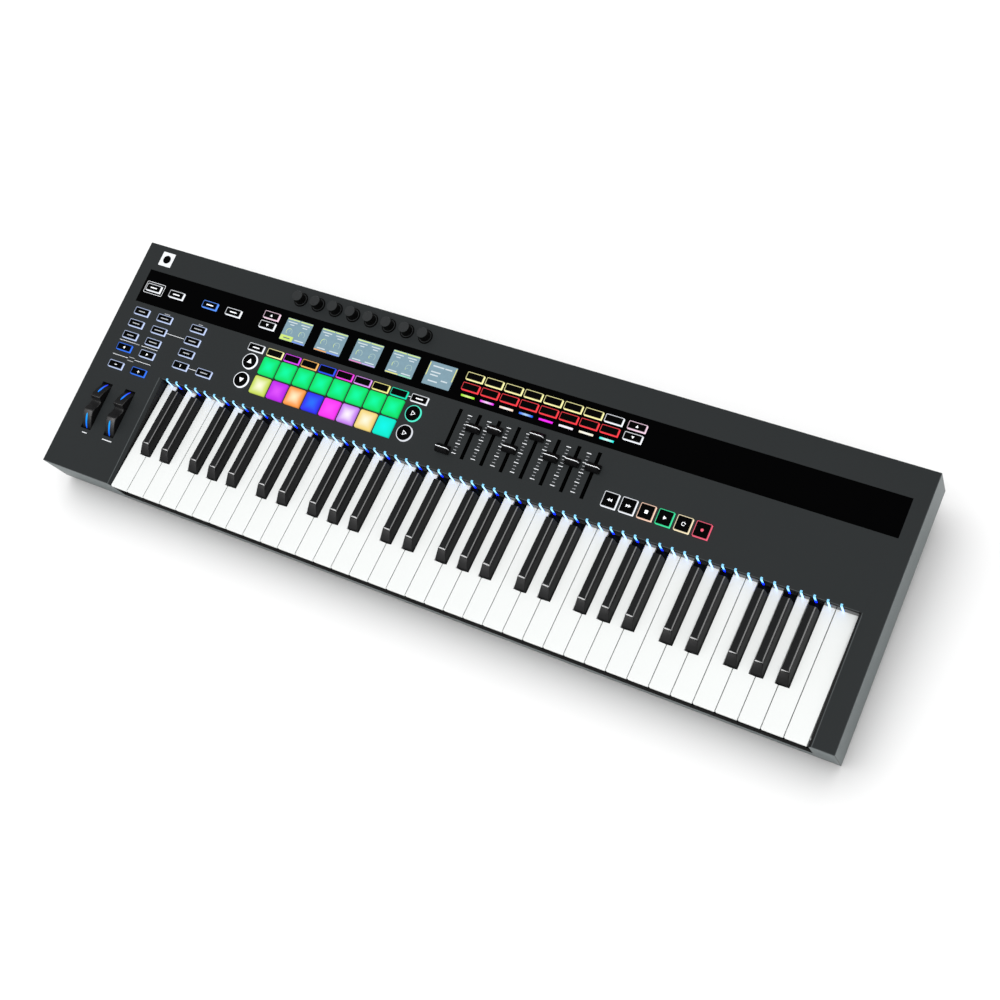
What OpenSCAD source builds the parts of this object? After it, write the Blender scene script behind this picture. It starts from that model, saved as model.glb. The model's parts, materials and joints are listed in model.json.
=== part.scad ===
// Keyboard controller synthesizer: a sloping slab with a five-octave keyboard, pitch and modulation
// wheels, rotary knobs, faders, backlit pads and buttons, five small displays and rear sockets.
// Millimetres, +Z up, the player stands at -Y. Origin: centre of the footprint, on the floor.

/* [Body] */
// width of the body, left to right
body_w = 980;
// depth of the top surface, measured along its slope
body_d = 295; // [294:1:300]
// thickness of the slab, square to its top surface
body_h = 51; // [50:1:54]
// slope of the top surface, degrees
tilt = 5.5; // [5:0.25:6]
// thickness of the case walls
wall_t = 3; // [2.5:0.5:3]
// thickness of the top panel
panel_t = 3.5;
// height of the rubber feet
foot_h = 5; // [4:0.5:7]

/* [Keyboard] */
// width of one white key, including the gap to its neighbour
white_pitch = 23.6; // [23.4:0.05:23.6]
// gap between two white keys
key_gap = 0.9; // [0.7:0.1:1.2]
// left edge of the first key, from the body's left side
keys_u = 102.7;
// width of a black key at its foot
black_w = 13.6; // [13:0.1:13.8]
// width of a black key along its top
black_top_w = 9.4; // [8.5:0.1:10]
// height of a black key over the white keys
black_h = 11.5; // [10.5:0.25:11.5]

/* [Controls] */
// distance between neighbouring knobs, pads and faders
ctl_pitch = 24.1;
// left and right size of a rectangular button
btn_w = 21; // [20:0.25:21.5]
// front and rear size of a rectangular button
btn_d = 9; // [8.5:0.25:9.5]
// height of the button caps over the panel
btn_up = 1.6; // [1.2:0.1:2]
// side of a square pad
pad_w = 21.8; // [21:0.1:22]
// height of a knob over the panel
knob_h = 12; // [11:0.5:13]

/* [Hidden] */
$fn = 48;
eps = 0.01;

// slab placement: the front top edge of the slab
slab_clear = 3;
y_front = -(body_d * cos(tilt) + body_h * sin(tilt)) / 2;
z_front = foot_h + slab_clear + body_h * cos(tilt);

// key opening in the top case
edge_c = 3.2;
key_wall_l = keys_u - 1;
key_wall_r = keys_u + 36 * white_pitch + 1;
key_rear_v = 138;
rear_edge = 0.5;
lip_h = 15;

// keys, in their own level frame: y from the key front, z from the white tops
key_drop = 1;
// the wall behind the keys is upright, so it leans within the tilted slab
key_rear_drop = key_drop + key_rear_v * sin(tilt) - 0.6;
key_rear_h = key_rear_drop * cos(tilt);
key_rear_lean = key_rear_drop * sin(tilt);
key_z = z_front - key_drop;
white_h = 16;
key_top_t = 3;
key_front_t = 3.4;
key_skin = 1.6;
neck_y = 46.8;
side_gap = 0.8;
black_y0 = 47.6;
black_y1 = 129.5;
tail_y = 186;
tail_w = 8.6;
tail_len = 20;
pivot_y = tail_y + 10;
pivot_z = -9;
pivot_r = 2;
pivot_gap = 0.05;
semi = 7 * white_pitch / 12;
octaves = 5;
black_after = [1, 2, 4, 5, 6];
black_off = [-1.8, 2.6, -3.3, 0, 3.4];
left_black = [-1, 0, 1, -1, 2, 3, 4];
right_black = [0, 1, -1, 2, 3, 4, -1];
white_semi = [0, 2, 4, 5, 7, 9, 11];
black_semi = [1, 3, 6, 8, 10];

// key bed, below the white tops
bed_z = -36;
bed_t = 2;
felt_top = -25.8;
board_z = -30.6;
dome_top = -22;

// controls on the panel, u from the left side and v from the front edge
strip_u0 = 17;
strip_u1 = 963;
strip_v0 = 219;
strip_v1 = 262;
strip_deep = 2.2;
lens_t = 1.6;
ctl_u = 229.5;
knob_v = 278.5;
knob_r = 6.2;
skirt_r = 7.9;
knob_well_r = 8.7;
shaft_r = 3;
shaft_gap = 0.05;
screen_u = 241.6;
screen_v = 240.5;
screen_w = 35;
screen_d = 27.6;
row_a = 207.6;
row_b = 191.6;
row_c = 175.7;
row_d = 159.6;
row_e = 136.6;
col_1 = 34.2;
col_2 = 68.5;
col_3 = 118.5;
col_4 = 152.8;
col_5 = 203;
col_6 = 424.5;
col_7 = 671.5;
strip_row = 240;
pair_up_v = 249.8;
pair_dn_v = 237.3;
bar_v = 227.3;
bar_w = 18;
bar_d = 3;
pad_row_1 = 190.2;
pad_row_2 = 166.3;
round_r = 9.6;
fader_u = 476;
fader_v0 = 162.5;
fader_v1 = 207.5;
fader_v = [162.5, 194.2, 199.4, 185.2, 207, 190, 192.6, 193];
slot_w = 4.3;
slot_v0 = 158.3;
slot_v1 = 211.7;
trans_u = 675.3;
trans_pitch = 20.64;
trans_v = 166.3;
trans_w = 17;
cap_low = -8.6;
cap_gap = 0.3;
flange_w = 1;
flange_z = -5.6;
flange_t = 1.2;
board_h = -10.6;
pcb_t = 1.6;

// wheels
wheel_u = [35.3, 69.7];
wheel_v = 82.3;
wheel_h = -24;
wheel_r = 36;
wheel_w = 13.6;
wheel_slot_w = 15;
wheel_slot_v0 = 52;
wheel_slot_v1 = 112.6;
axle_r = 3;
axle_gap = 0.05;
plate_t = 2.5;

// rear panel
rear_u0 = 448;
rear_u1 = 932;
rear_h0 = -42;
rear_h1 = -10;
rear_t = 2;
sock_h = -26;
jack_u = [584, 614, 644];
mini_u = [466, 484, 502, 520, 538];
midi_u = [688, 722, 756];
usb_u = 806;
dc_u = 846;
power_u = 892;
jack_bore = 3.2;
mini_bore = 1.8;

// case fixings
boss_r = 4;
screw_r = 1.5;
fixings = [[12, 22], [12, 150], [12, 280], [968, 22], [968, 150], [968, 280],
    [210, 286.5], [420, 286.5]];
foot_xy = [[-440, -105], [440, -105], [-440, 112], [440, 112], [0, -105], [0, 112]];
foot_r = 9;
tub_u0 = 22;
tub_u1 = 958;
tub_y0 = 20;
tub_y1 = 285;
tub_t = 2.5;

panel_c = [0.19, 0.19, 0.19];
black_c = [0.05, 0.05, 0.05];
dark_c = [0.12, 0.12, 0.12];
metal_c = [0.65, 0.65, 0.66];
board_c = [0.05, 0.28, 0.12];
white_c = [0.93, 0.94, 0.95];
glow_c = [0.75, 0.85, 0.95];

function black_x(k) = white_pitch * black_after[k] + black_off[k];
function ctl_at(i) = ctl_u + ctl_pitch * i;
function fader_at(i) = fader_u + ctl_pitch * i;
function under_z(y) = foot_h + slab_clear + (y - body_h * sin(tilt)) * tan(tilt);

// places children on the sloping top: u across, v up the slope, h square to it
module slab(u = 0, v = 0, h = 0) {
    translate([-body_w / 2, y_front, z_front])
        rotate([tilt, 0, 0])
            translate([u, v, h])
                children();
}

// places children in the level frame of the keys
module keyed(x = 0, y = 0, z = 0) {
    translate([-body_w / 2 + keys_u + x, y_front + y, key_z + z])
        children();
}

// block centred in u and v, from h0 up to h1
module block(w, d, h0, h1) {
    translate([-w / 2, -d / 2, h0])
        cube([w, d, h1 - h0]);
}

module disc(r, h0, h1) {
    translate([0, 0, h0])
        cylinder(r = r, h = h1 - h0);
}

// positions of each family of controls
module at_left_buttons() {
    for (v = [row_a, row_b, row_c, row_d, row_e]) {
        slab(col_1, v) children();
        slab(col_2, v) children();
    }
    for (v = [row_a, row_b, row_c, row_d]) slab(col_3, v) children();
    slab(col_4, row_d) children();
}

module at_strip_buttons() {
    for (u = [col_1, col_2, col_3, col_4]) slab(u, strip_row) children();
    for (v = [pair_up_v, pair_dn_v]) slab(col_5, v) children();
}

module at_soft_buttons() {
    for (i = [0:7]) slab(ctl_at(i), row_a) children();
    slab(col_5, row_a) children();
    slab(col_6, row_a) children();
}

module at_fader_buttons() {
    for (v = [pair_up_v, pair_dn_v]) {
        for (i = [0:7]) slab(fader_at(i), v) children();
        slab(col_7, v) children();
    }
}

module at_arrow_buttons() {
    for (u = [col_5, col_6])
        for (v = [pad_row_1, pad_row_2])
            slab(u, v) children();
}

module at_pads(v) {
    for (i = [0:7]) slab(ctl_at(i), v) children();
}

module at_transport() {
    for (i = [0:5]) slab(trans_u + trans_pitch * i, trans_v) children();
}

// one button cap: finger face, shaft and a retaining flange under the panel
module cap(w, d, up) {
    block(w, d, cap_low, up);
    block(w + 2 * flange_w, d + 2 * flange_w, flange_z - flange_t, flange_z);
}

module cap_hole(w, d) {
    block(w + 2 * cap_gap, d + 2 * cap_gap, -panel_t - 1, 1);
}

module top_case() {
    color(panel_c)
    difference() {
        union() {
            difference() {
                slab() translate([0, 0, -body_h]) cube([body_w, body_d, body_h]);
                slab() translate([wall_t, wall_t, -body_h - 1])
                    cube([body_w - 2 * wall_t, body_d - 2 * wall_t, body_h - panel_t + 1]);
                // opening above the keys, and the slot over the front lip
                slab() translate([key_wall_l - wall_t, -1, -body_h + lip_h])
                    cube([key_wall_r - key_wall_l + 2 * wall_t, key_rear_v + wall_t + 1, body_h]);
            }
            // inner sides of the two cheeks
            for (u = [key_wall_l - wall_t, key_wall_r])
                slab(u) translate([0, 0, -body_h + 8]) cube([wall_t, key_rear_v + wall_t, body_h - 8]);
            // wall that drops behind the keys
            slab(key_wall_l - eps, key_rear_v) rotate([90, 0, 90])
                linear_extrude(key_wall_r - key_wall_l + 2 * eps)
                    polygon([[0, 0], [wall_t + 1, 0], [wall_t + 1, -panel_t],
                        [wall_t - key_rear_lean, -key_rear_h], [-key_rear_lean, -key_rear_h]]);
            for (p = fixings) slab(p[0], p[1]) disc(boss_r, -body_h + 3.2, -1);
        }
        // bevels along the opening
        slab(key_wall_l) translate([0, key_rear_v, 0]) rotate([90, 0, 0])
            linear_extrude(key_rear_v + 1)
                polygon([[-edge_c, 1], [1, 1], [1, -edge_c - 1], [0, -edge_c], [-edge_c, 0]]);
        slab(key_wall_r) translate([0, key_rear_v, 0]) rotate([90, 0, 0])
            linear_extrude(key_rear_v + 1)
                polygon([[edge_c, 1], [-1, 1], [-1, -edge_c - 1], [0, -edge_c], [edge_c, 0]]);
        slab(key_wall_l - eps, key_rear_v) rotate([90, 0, 90])
            linear_extrude(key_wall_r - key_wall_l + 2 * eps)
                polygon([[rear_edge, 1], [-1, 1], [-1, -rear_edge - 1], [0, -rear_edge], [rear_edge, 0]]);
        // notches for the key lights
        for (i = [0:60])
            slab(keys_u + semi * (i + 0.5), key_rear_v) guide(0.1, 0.1);
        // tray for the glossy strip and windows for the displays
        slab() translate([strip_u0, strip_v0, -strip_deep])
            cube([strip_u1 - strip_u0, strip_v1 - strip_v0, strip_deep + 1]);
        for (i = [0:4])
            slab(screen_u + 2 * ctl_pitch * i, screen_v) block(screen_w + 2, screen_d + 2, -panel_t - 1, 0);
        for (i = [0:7])
            slab(fader_at(i), bar_v) block(bar_w - 1, bar_d - 1, -panel_t - 1, 0);
        at_left_buttons() cap_hole(btn_w, btn_d);
        at_strip_buttons() cap_hole(btn_w, btn_d);
        at_soft_buttons() cap_hole(btn_w, btn_d);
        at_fader_buttons() cap_hole(btn_w, btn_d);
        at_transport() cap_hole(trans_w, trans_w);
        at_pads(pad_row_1) cap_hole(pad_w, pad_w);
        at_pads(pad_row_2) cap_hole(pad_w, pad_w);
        at_arrow_buttons() disc(round_r + cap_gap, -panel_t - 1, 1);
        // knob wells and bushing holes
        for (i = [0:7]) {
            slab(ctl_at(i), knob_v) disc(knob_well_r, -1.2, 1);
            slab(ctl_at(i), knob_v) disc(4, -panel_t - 1, 0);
        }
        for (i = [0:7])
            slab(fader_at(i) - slot_w / 2, slot_v0, -panel_t - 1)
                cube([slot_w, slot_v1 - slot_v0, panel_t + 2]);
        for (u = wheel_u)
            slab(u - wheel_slot_w / 2, wheel_slot_v0, -panel_t - 1)
                cube([wheel_slot_w, wheel_slot_v1 - wheel_slot_v0, panel_t + 2]);
        // window in the rear wall
        slab() translate([rear_u0, body_d - wall_t - 1, rear_h0])
            cube([rear_u1 - rear_u0, wall_t + 2, rear_h1 - rear_h0]);
        for (p = fixings) slab(p[0], p[1]) disc(screw_r + 0.05, -body_h - 1, -body_h + 18);
    }
}

module base_tray() {
    color(dark_c)
    difference() {
        union() {
            slab() translate([wall_t + 0.2, wall_t + 0.2, -body_h + 0.4])
                cube([body_w - 2 * wall_t - 0.4, body_d - 2 * wall_t - 0.4, tub_t]);
            translate([-body_w / 2 + tub_u0, y_front, 0])
                rotate([90, 0, 90])
                    linear_extrude(tub_u1 - tub_u0)
                        polygon([[tub_y0, foot_h], [tub_y1, foot_h],
                            [tub_y1, under_z(tub_y1) + 1.5], [tub_y0, under_z(tub_y0) + 1.5]]);
        }
        translate([-body_w / 2 + tub_u0 + tub_t, y_front, 0])
            rotate([90, 0, 90])
                linear_extrude(tub_u1 - tub_u0 - 2 * tub_t)
                    polygon([[tub_y0 + tub_t, foot_h + tub_t], [tub_y1 - tub_t, foot_h + tub_t],
                        [tub_y1 - tub_t, under_z(tub_y1) + 9], [tub_y0 + tub_t, under_z(tub_y0) + 9]]);
        for (p = fixings) slab(p[0], p[1]) disc(screw_r + 0.3, -body_h - 1, -body_h + 4);
    }
    // pillars that carry the key bed
    color(dark_c)
    for (x = [20, 290, 560, 830])
        for (y = [40, 185])
            keyed(x, y) translate([0, 0, -key_z + foot_h + tub_t])
                cylinder(r = 5, h = key_z + bed_z - foot_h - tub_t);
}

module rear_panel() {
    color(dark_c)
    difference() {
        slab() translate([rear_u0 - 8, body_d - wall_t - rear_t, rear_h0 - 4])
            cube([rear_u1 - rear_u0 + 16, rear_t, rear_h1 - rear_h0 + 8]);
        for (u = jack_u) slab(u, body_d, sock_h) rotate([90, 0, 0]) disc(5.6, 0, 12);
        for (u = mini_u) slab(u, body_d, sock_h) rotate([90, 0, 0]) disc(3.3, 0, 12);
        for (u = midi_u) slab(u, body_d, sock_h) rotate([90, 0, 0]) disc(8.1, 0, 12);
        slab(usb_u, body_d - 5, sock_h) cube([12.4, 20, 11.4], center = true);
        slab(dc_u, body_d - 5, sock_h) cube([9.4, 20, 11.4], center = true);
        slab(power_u, body_d, sock_h) rotate([90, 0, 0]) disc(5.3, 0, 12);
    }
}

module display_lens() {
    color(black_c)
    difference() {
        slab() translate([strip_u0 + 0.15, strip_v0 + 0.15, -strip_deep])
            cube([strip_u1 - strip_u0 - 0.3, strip_v1 - strip_v0 - 0.3, lens_t]);
        at_strip_buttons() cap_hole(btn_w, btn_d);
        at_fader_buttons() cap_hole(btn_w, btn_d);
        for (i = [0:7])
            slab(fader_at(i), bar_v) block(bar_w + 0.1, bar_d + 0.1, -4, 1);
    }
}

module display_modules() {
    color([0.45, 0.55, 0.6])
    for (i = [0:4])
        slab(screen_u + 2 * ctl_pitch * i, screen_v) {
            block(screen_w + 6, screen_d + 6, -8.4, -panel_t - 0.1);
            block(screen_w + 1.6, screen_d + 1.6, -panel_t - 0.2, -strip_deep - 0.1);
        }
}

// bent light pipe: a head in the edge of the panel and a stem down the wall behind the keys
module guide(side = 0, out = 0) {
    rotate([90, 0, 90])
        translate([0, 0, -1.1 - side])
            linear_extrude(2.2 + 2 * side)
                polygon([[2.4 + out, 0.15 + 2 * out], [0.4, 0.15 + 2 * out], [-0.3 - 2 * out, -0.6],
                    [-key_rear_lean - 0.25 - 2 * out, -key_rear_h - 2 * out],
                    [-key_rear_lean + 1 + out, -key_rear_h - 2 * out], [1 + out, -1.3], [2.4 + out, -1.3]]);
}

module light_guides() {
    color(glow_c) {
        for (i = [0:60])
            slab(keys_u + semi * (i + 0.5), key_rear_v) guide();
        for (i = [0:7])
            slab(fader_at(i), bar_v) {
                block(bar_w, bar_d, -strip_deep, -strip_deep + lens_t + 0.2);
                block(bar_w - 1.2, bar_d - 1.2, -7, -strip_deep + eps);
            }
    }
}

module control_board() {
    color(board_c)
    difference() {
        union() {
            slab() translate([10, 143, board_h - pcb_t]) cube([795, 122, pcb_t]);
            slab() translate([20, 129, board_h - pcb_t]) cube([66, 15, pcb_t]);
        }
        for (p = [[12, 150]]) slab(p[0], p[1]) disc(boss_r + 1, board_h - pcb_t - 1, board_h + 1);
    }
    // knob board behind the strip
    color(board_c)
        slab() translate([215, 268, board_h - pcb_t]) cube([198, 14, pcb_t]);
}

module key_frame() {
    color(metal_c)
    difference() {
        union() {
            keyed(-0.6, 8, bed_z) cube([36 * white_pitch + 1.2, tail_y + 21 - 8, bed_t]);
            keyed(-0.6, 13, bed_z) cube([36 * white_pitch + 1.2, 14, 6.4]);
            // comb that carries the pivot rod
            for (i = [0:61])
                keyed(semi * i + (i == 0 ? 1.3 : 0) - 1.2, pivot_y - 6, bed_z)
                    cube([2.4, 12, -bed_z + pivot_z + 6]);
            // posts that guide the keys from inside
            for (o = [0:octaves - 1])
                for (n = [0:6])
                    keyed(7 * white_pitch * o + white_pitch * (n + 0.5) - 3, 29, bed_z)
                        cube([6, 8, -bed_z - 13]);
            keyed(35.5 * white_pitch - 3, 29, bed_z) cube([6, 8, -bed_z - 13]);
            for (o = [0:octaves - 1])
                for (k = [0:4])
                    keyed(7 * white_pitch * o + black_x(k) - 2, 70, bed_z) cube([4, 8, -bed_z - 6]);
            // supports of the contact board
            for (y = [80, 108])
                keyed(1, y, bed_z) cube([36 * white_pitch - 2, 3, board_z - bed_z]);
        }
        keyed(-5, pivot_y, pivot_z) rotate([0, 90, 0])
            cylinder(r = pivot_r + 0.02, h = 36 * white_pitch + 10);
    }
}

module key_pivot_rod() {
    color(metal_c)
        keyed(-0.5, pivot_y, pivot_z) rotate([0, 90, 0]) cylinder(r = pivot_r, h = 36 * white_pitch + 1);
}

module key_contact_board() {
    color(board_c)
        keyed(2, 78, board_z) cube([36 * white_pitch - 4, 35, pcb_t]);
}

module key_contact_domes() {
    color([0.6, 0.6, 0.62])
    for (i = [0:60])
        keyed(semi * (i + 0.5), 0, board_z + pcb_t) {
            translate([-5, 84, 0]) cube([10, 24, 1.2]);
            translate([0, 90, 0]) cylinder(r1 = 4.2, r2 = 2.6, h = dome_top - board_z - pcb_t);
            translate([0, 102, 0]) cylinder(r1 = 4.2, r2 = 2.6, h = dome_top - board_z - pcb_t);
        }
}

module key_stop_felts() {
    color([0.45, 0.1, 0.12])
        keyed(0.5, 14, bed_z + 6.4) cube([36 * white_pitch - 1, 12, felt_top - bed_z - 6.4]);
}

module key_return_springs() {
    color(metal_c)
    for (i = [0:60])
        keyed(semi * (i + 0.5), pivot_y + 8, bed_z + bed_t)
            difference() {
                cylinder(r = 1.6, h = -white_h - 0.2 - bed_z - bed_t);
                translate([0, 0, -1]) cylinder(r = 1, h = 40);
            }
}

// tail that clips over the pivot rod
module tail(s) {
    difference() {
        translate([semi * (s + 0.5) - tail_w / 2, tail_y - 1, -white_h])
            cube([tail_w, tail_len, white_h - 1]);
        translate([semi * (s + 0.5) - tail_w, pivot_y, pivot_z])
            rotate([0, 90, 0]) cylinder(r = pivot_r + pivot_gap, h = 2 * tail_w);
        translate([semi * (s + 0.5) - tail_w, pivot_y - pivot_r - pivot_gap, -white_h - 1])
            cube([2 * tail_w, 2 * (pivot_r + pivot_gap), white_h + 1 + pivot_z]);
    }
}

// a white key in its octave; full = no notch for black keys
module white_key(n, full = false) {
    fl = white_pitch * n + key_gap / 2;
    fr = white_pitch * (n + 1) - key_gap / 2;
    nl = left_black[n] < 0 ? fl : black_x(left_black[n]) + black_w / 2 + side_gap;
    nr = full || right_black[n] < 0 ? fr : black_x(right_black[n]) - black_w / 2 - side_gap;
    color(white_c) {
        difference() {
            union() {
                translate([fl, 0, -white_h]) cube([fr - fl, neck_y, white_h]);
                translate([nl, neck_y - 1, -white_h]) cube([nr - nl, tail_y - neck_y + 1, white_h]);
            }
            translate([fl - 1, -1, -white_h - 1]) cube([white_pitch + 2, 11, white_h + 1 - key_front_t]);
            translate([fl + key_skin, 12, -white_h - 1])
                cube([fr - fl - 2 * key_skin, neck_y - 12 - key_skin, white_h - key_top_t + 1]);
            translate([nl + key_skin, neck_y - 3, -white_h - 1])
                cube([nr - nl - 2 * key_skin, tail_y - neck_y - 2, white_h - key_top_t + 1]);
        }
        tail(white_semi[n]);
    }
}

module black_key(k) {
    c = black_x(k);
    color(black_c) {
        difference() {
            union() {
                intersection() {
                    translate([c - black_w / 2, 0, 0]) rotate([90, 0, 90]) linear_extrude(black_w)
                        polygon([[black_y0, -1], [black_y0, 1.2], [black_y0 + 10.5, black_h - 0.6],
                            [black_y0 + 12.5, black_h], [black_y1, black_h], [black_y1, -1]]);
                    translate([c, black_y1 + 1, 0]) rotate([90, 0, 0]) linear_extrude(black_y1)
                        polygon([[-black_w / 2, -2], [black_w / 2, -2], [black_w / 2, 1],
                            [black_top_w / 2, black_h + eps], [-black_top_w / 2, black_h + eps],
                            [-black_w / 2, 1]]);
                }
                translate([c - black_w / 2 + 0.3, black_y0 + 1, -white_h])
                    cube([black_w - 0.6, tail_y - black_y0 - 1, white_h]);
            }
            translate([c - 4.8, black_y0 + 3, -white_h - 1]) cube([9.6, tail_y - black_y0 - 5, white_h - 2]);
            translate([c - 3, black_y0 + 15, -white_h - 1])
                cube([6, black_y1 - black_y0 - 18, white_h + black_h - 3]);
        }
        tail(black_semi[k]);
    }
}

module white_group(n) {
    for (o = [0:octaves - 1]) keyed(7 * white_pitch * o) white_key(n);
}

module black_group(k) {
    for (o = [0:octaves - 1]) keyed(7 * white_pitch * o) black_key(k);
}

module keys_c() {
    white_group(0);
    keyed(7 * white_pitch * octaves) white_key(0, true);
}
module keys_c_sharp() { black_group(0); }
module keys_d() { white_group(1); }
module keys_d_sharp() { black_group(1); }
module keys_e() { white_group(2); }
module keys_f() { white_group(3); }
module keys_f_sharp() { black_group(2); }
module keys_g() { white_group(4); }
module keys_g_sharp() { black_group(3); }
module keys_a() { white_group(5); }
module keys_a_sharp() { black_group(4); }
module keys_b() { white_group(6); }

module encoder_bodies() {
    color(metal_c)
    for (i = [0:7])
        slab(ctl_at(i), knob_v)
            difference() {
                union() {
                    block(12, 11.4, board_h, -panel_t - 0.6);
                    disc(3.7, -panel_t - 1, -1.4);
                }
                disc(shaft_r + shaft_gap, board_h + 2, 0);
            }
}

module knob(i) {
    color(dark_c)
    slab(ctl_at(i), knob_v) {
        disc(shaft_r, board_h + 2.4, 2);
        disc(skirt_r, -0.5, 1.2);
        translate([0, 0, 1.1]) cylinder(r1 = knob_r + 0.3, r2 = knob_r, h = knob_h - 1.1 - 0.8);
        translate([0, 0, knob_h - 0.8 - eps]) cylinder(r1 = knob_r, r2 = knob_r - 0.8, h = 0.8);
    }
}
module knob_1() { knob(0); }
module knob_2() { knob(1); }
module knob_3() { knob(2); }
module knob_4() { knob(3); }
module knob_5() { knob(4); }
module knob_6() { knob(5); }
module knob_7() { knob(6); }
module knob_8() { knob(7); }

module fader_bodies() {
    color(metal_c)
    for (i = [0:7])
        slab(fader_at(i), 0)
            difference() {
                translate([-4.5, 154, board_h]) cube([9, 62, -board_h - panel_t - 0.1]);
                translate([-1.2, slot_v0 + 0.5, board_h + 1]) cube([2.4, slot_v1 - slot_v0 - 1, 20]);
            }
}

// fader: lever blade and a ridged cap
module fader(i) {
    color(black_c)
    slab(fader_at(i), fader_v[i]) {
        block(1.6, 5, board_h + 1.4, 3.5);
        intersection() {
            translate([-8.5, 0, 0]) rotate([90, 0, 90]) linear_extrude(17)
                polygon([[-5, 2], [5, 2], [5, 3.6], [0.9, 9.4], [-0.9, 9.4], [-5, 3.6]]);
            translate([0, 10, 0]) rotate([90, 0, 0]) linear_extrude(20)
                polygon([[-8.5, 1], [8.5, 1], [8.5, 4.2], [6.9, 9.5], [-6.9, 9.5], [-8.5, 4.2]]);
        }
    }
}
module fader_1() { fader(0); }
module fader_2() { fader(1); }
module fader_3() { fader(2); }
module fader_4() { fader(3); }
module fader_5() { fader(4); }
module fader_6() { fader(5); }
module fader_7() { fader(6); }
module fader_8() { fader(7); }

// sector wheel with a finger notch, a hub and an axle
module wheel(i) {
    color(black_c)
    slab(wheel_u[i], wheel_v, wheel_h)
        rotate([0, 90, 0]) {
            difference() {
                translate([0, 0, -wheel_w / 2]) cylinder(r = wheel_r, h = wheel_w, $fn = 96);
                translate([1, -wheel_r - 1, -wheel_w]) cube([wheel_r, 2 * wheel_r + 2, 2 * wheel_w]);
                translate([-wheel_r - 1.6, 0, -wheel_w]) cylinder(r = 8.4, h = 2 * wheel_w);
            }
            translate([0, 0, -wheel_w / 2]) cylinder(r = 8, h = wheel_w);
            translate([0, 0, -12.6]) cylinder(r = axle_r, h = 25.2);
        }
}
module pitch_wheel() { wheel(0); }
module modulation_wheel() { wheel(1); }

module wheel_bracket() {
    color(metal_c)
    difference() {
        union() {
            for (u = [wheel_u[0] - 13, wheel_u[0] + 10.5, wheel_u[1] - 13, wheel_u[1] + 10.5])
                slab(u) translate([0, wheel_v - 44, wheel_h - 10]) cube([plate_t, 88, 30]);
            for (v = [wheel_v - 44, wheel_v + 41.5])
                slab() translate([wheel_u[0] - 13, v, wheel_h - 10])
                    cube([wheel_u[1] - wheel_u[0] + 26, plate_t, 30]);
        }
        for (u = wheel_u)
            slab(u, wheel_v, wheel_h) rotate([0, 90, 0])
                translate([0, 0, -20]) cylinder(r = axle_r + axle_gap, h = 40);
    }
}

// a round socket let into the rear panel, its mouth facing the rear
module barrel(r_body, r_bore, nut_r, deep) {
    difference() {
        union() {
            rotate([90, 0, 0]) disc(r_body, 0.8, 8);
            translate([-nut_r, -deep, -nut_r]) cube([2 * nut_r, deep - 5.1, 2 * nut_r]);
            rotate([90, 0, 0]) translate([0, 0, 1.4]) cylinder(r = nut_r, h = 1.5, $fn = 6);
        }
        rotate([90, 0, 0]) disc(r_bore, -1, deep - 2);
    }
}

module jack_sockets() {
    color(black_c) {
        for (u = jack_u) slab(u, body_d, sock_h) barrel(5.5, jack_bore, 7.6, 22);
        for (u = mini_u) slab(u, body_d, sock_h) barrel(3.2, mini_bore, 4.6, 15);
    }
}

module midi_sockets() {
    color(black_c)
    for (u = midi_u)
        slab(u, body_d, sock_h)
            difference() {
                union() {
                    rotate([90, 0, 0]) disc(8, 0.8, 8);
                    translate([-10, -16, -10]) cube([20, 10.9, 20]);
                }
                rotate([90, 0, 0]) difference() {
                    disc(7.1, 0, 9);
                    disc(5.6, 1.4, 10);
                }
                for (a = [0:45:180])
                    rotate([0, a, 0]) translate([4, 0, 0]) rotate([90, 0, 0]) disc(0.8, 0, 9);
            }
}

module power_sockets() {
    color(metal_c)
        slab(usb_u, body_d, sock_h)
            difference() {
                translate([-6, -18, -5.5]) cube([12, 17, 11]);
                translate([-4.3, -11, -3.9]) cube([8.6, 12, 7.8]);
            }
    color(white_c)
        slab(usb_u, body_d, sock_h)
            translate([-2.8, -11.5, -1.6]) cube([5.6, 5.5, 3.2]);
    color(black_c)
        slab(dc_u, body_d, sock_h)
            difference() {
                translate([-4.5, -15, -5.5]) cube([9, 14, 11]);
                rotate([90, 0, 0]) disc(3.2, 0, 11.5);
            }
    color(metal_c)
        slab(dc_u, body_d, sock_h)
            rotate([90, 0, 0]) disc(1, 6.2, 12);
}

module power_button() {
    color(black_c)
        slab(power_u, body_d, sock_h)
            rotate([90, 0, 0]) {
                disc(5, 0.2, 12);
                disc(6.2, 6, 7.2);
            }
}

module pads_upper() {
    color([0.1, 0.95, 0.5]) at_pads(pad_row_1) cap(pad_w, pad_w, btn_up);
}

module pads_lower() {
    color([0.9, 0.7, 0.9]) at_pads(pad_row_2) cap(pad_w, pad_w, btn_up);
}

module left_buttons() {
    color(dark_c) at_left_buttons() cap(btn_w, btn_d, btn_up);
}

module strip_buttons() {
    color(dark_c) at_strip_buttons() cap(btn_w, btn_d, btn_up);
}

module soft_buttons() {
    color(dark_c) at_soft_buttons() cap(btn_w, btn_d, btn_up);
}

module fader_buttons() {
    color(dark_c) at_fader_buttons() cap(btn_w, btn_d, btn_up);
}

module transport_buttons() {
    color(dark_c) at_transport() cap(trans_w, trans_w, btn_up);
}

module arrow_buttons() {
    color(dark_c)
    at_arrow_buttons() {
        disc(round_r, cap_low, btn_up);
        disc(round_r + flange_w, flange_z - flange_t, flange_z);
    }
}

module rubber_feet() {
    color(black_c)
    for (p = foot_xy)
        translate([p[0], p[1], 0]) cylinder(r = foot_r, h = foot_h);
}

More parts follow.
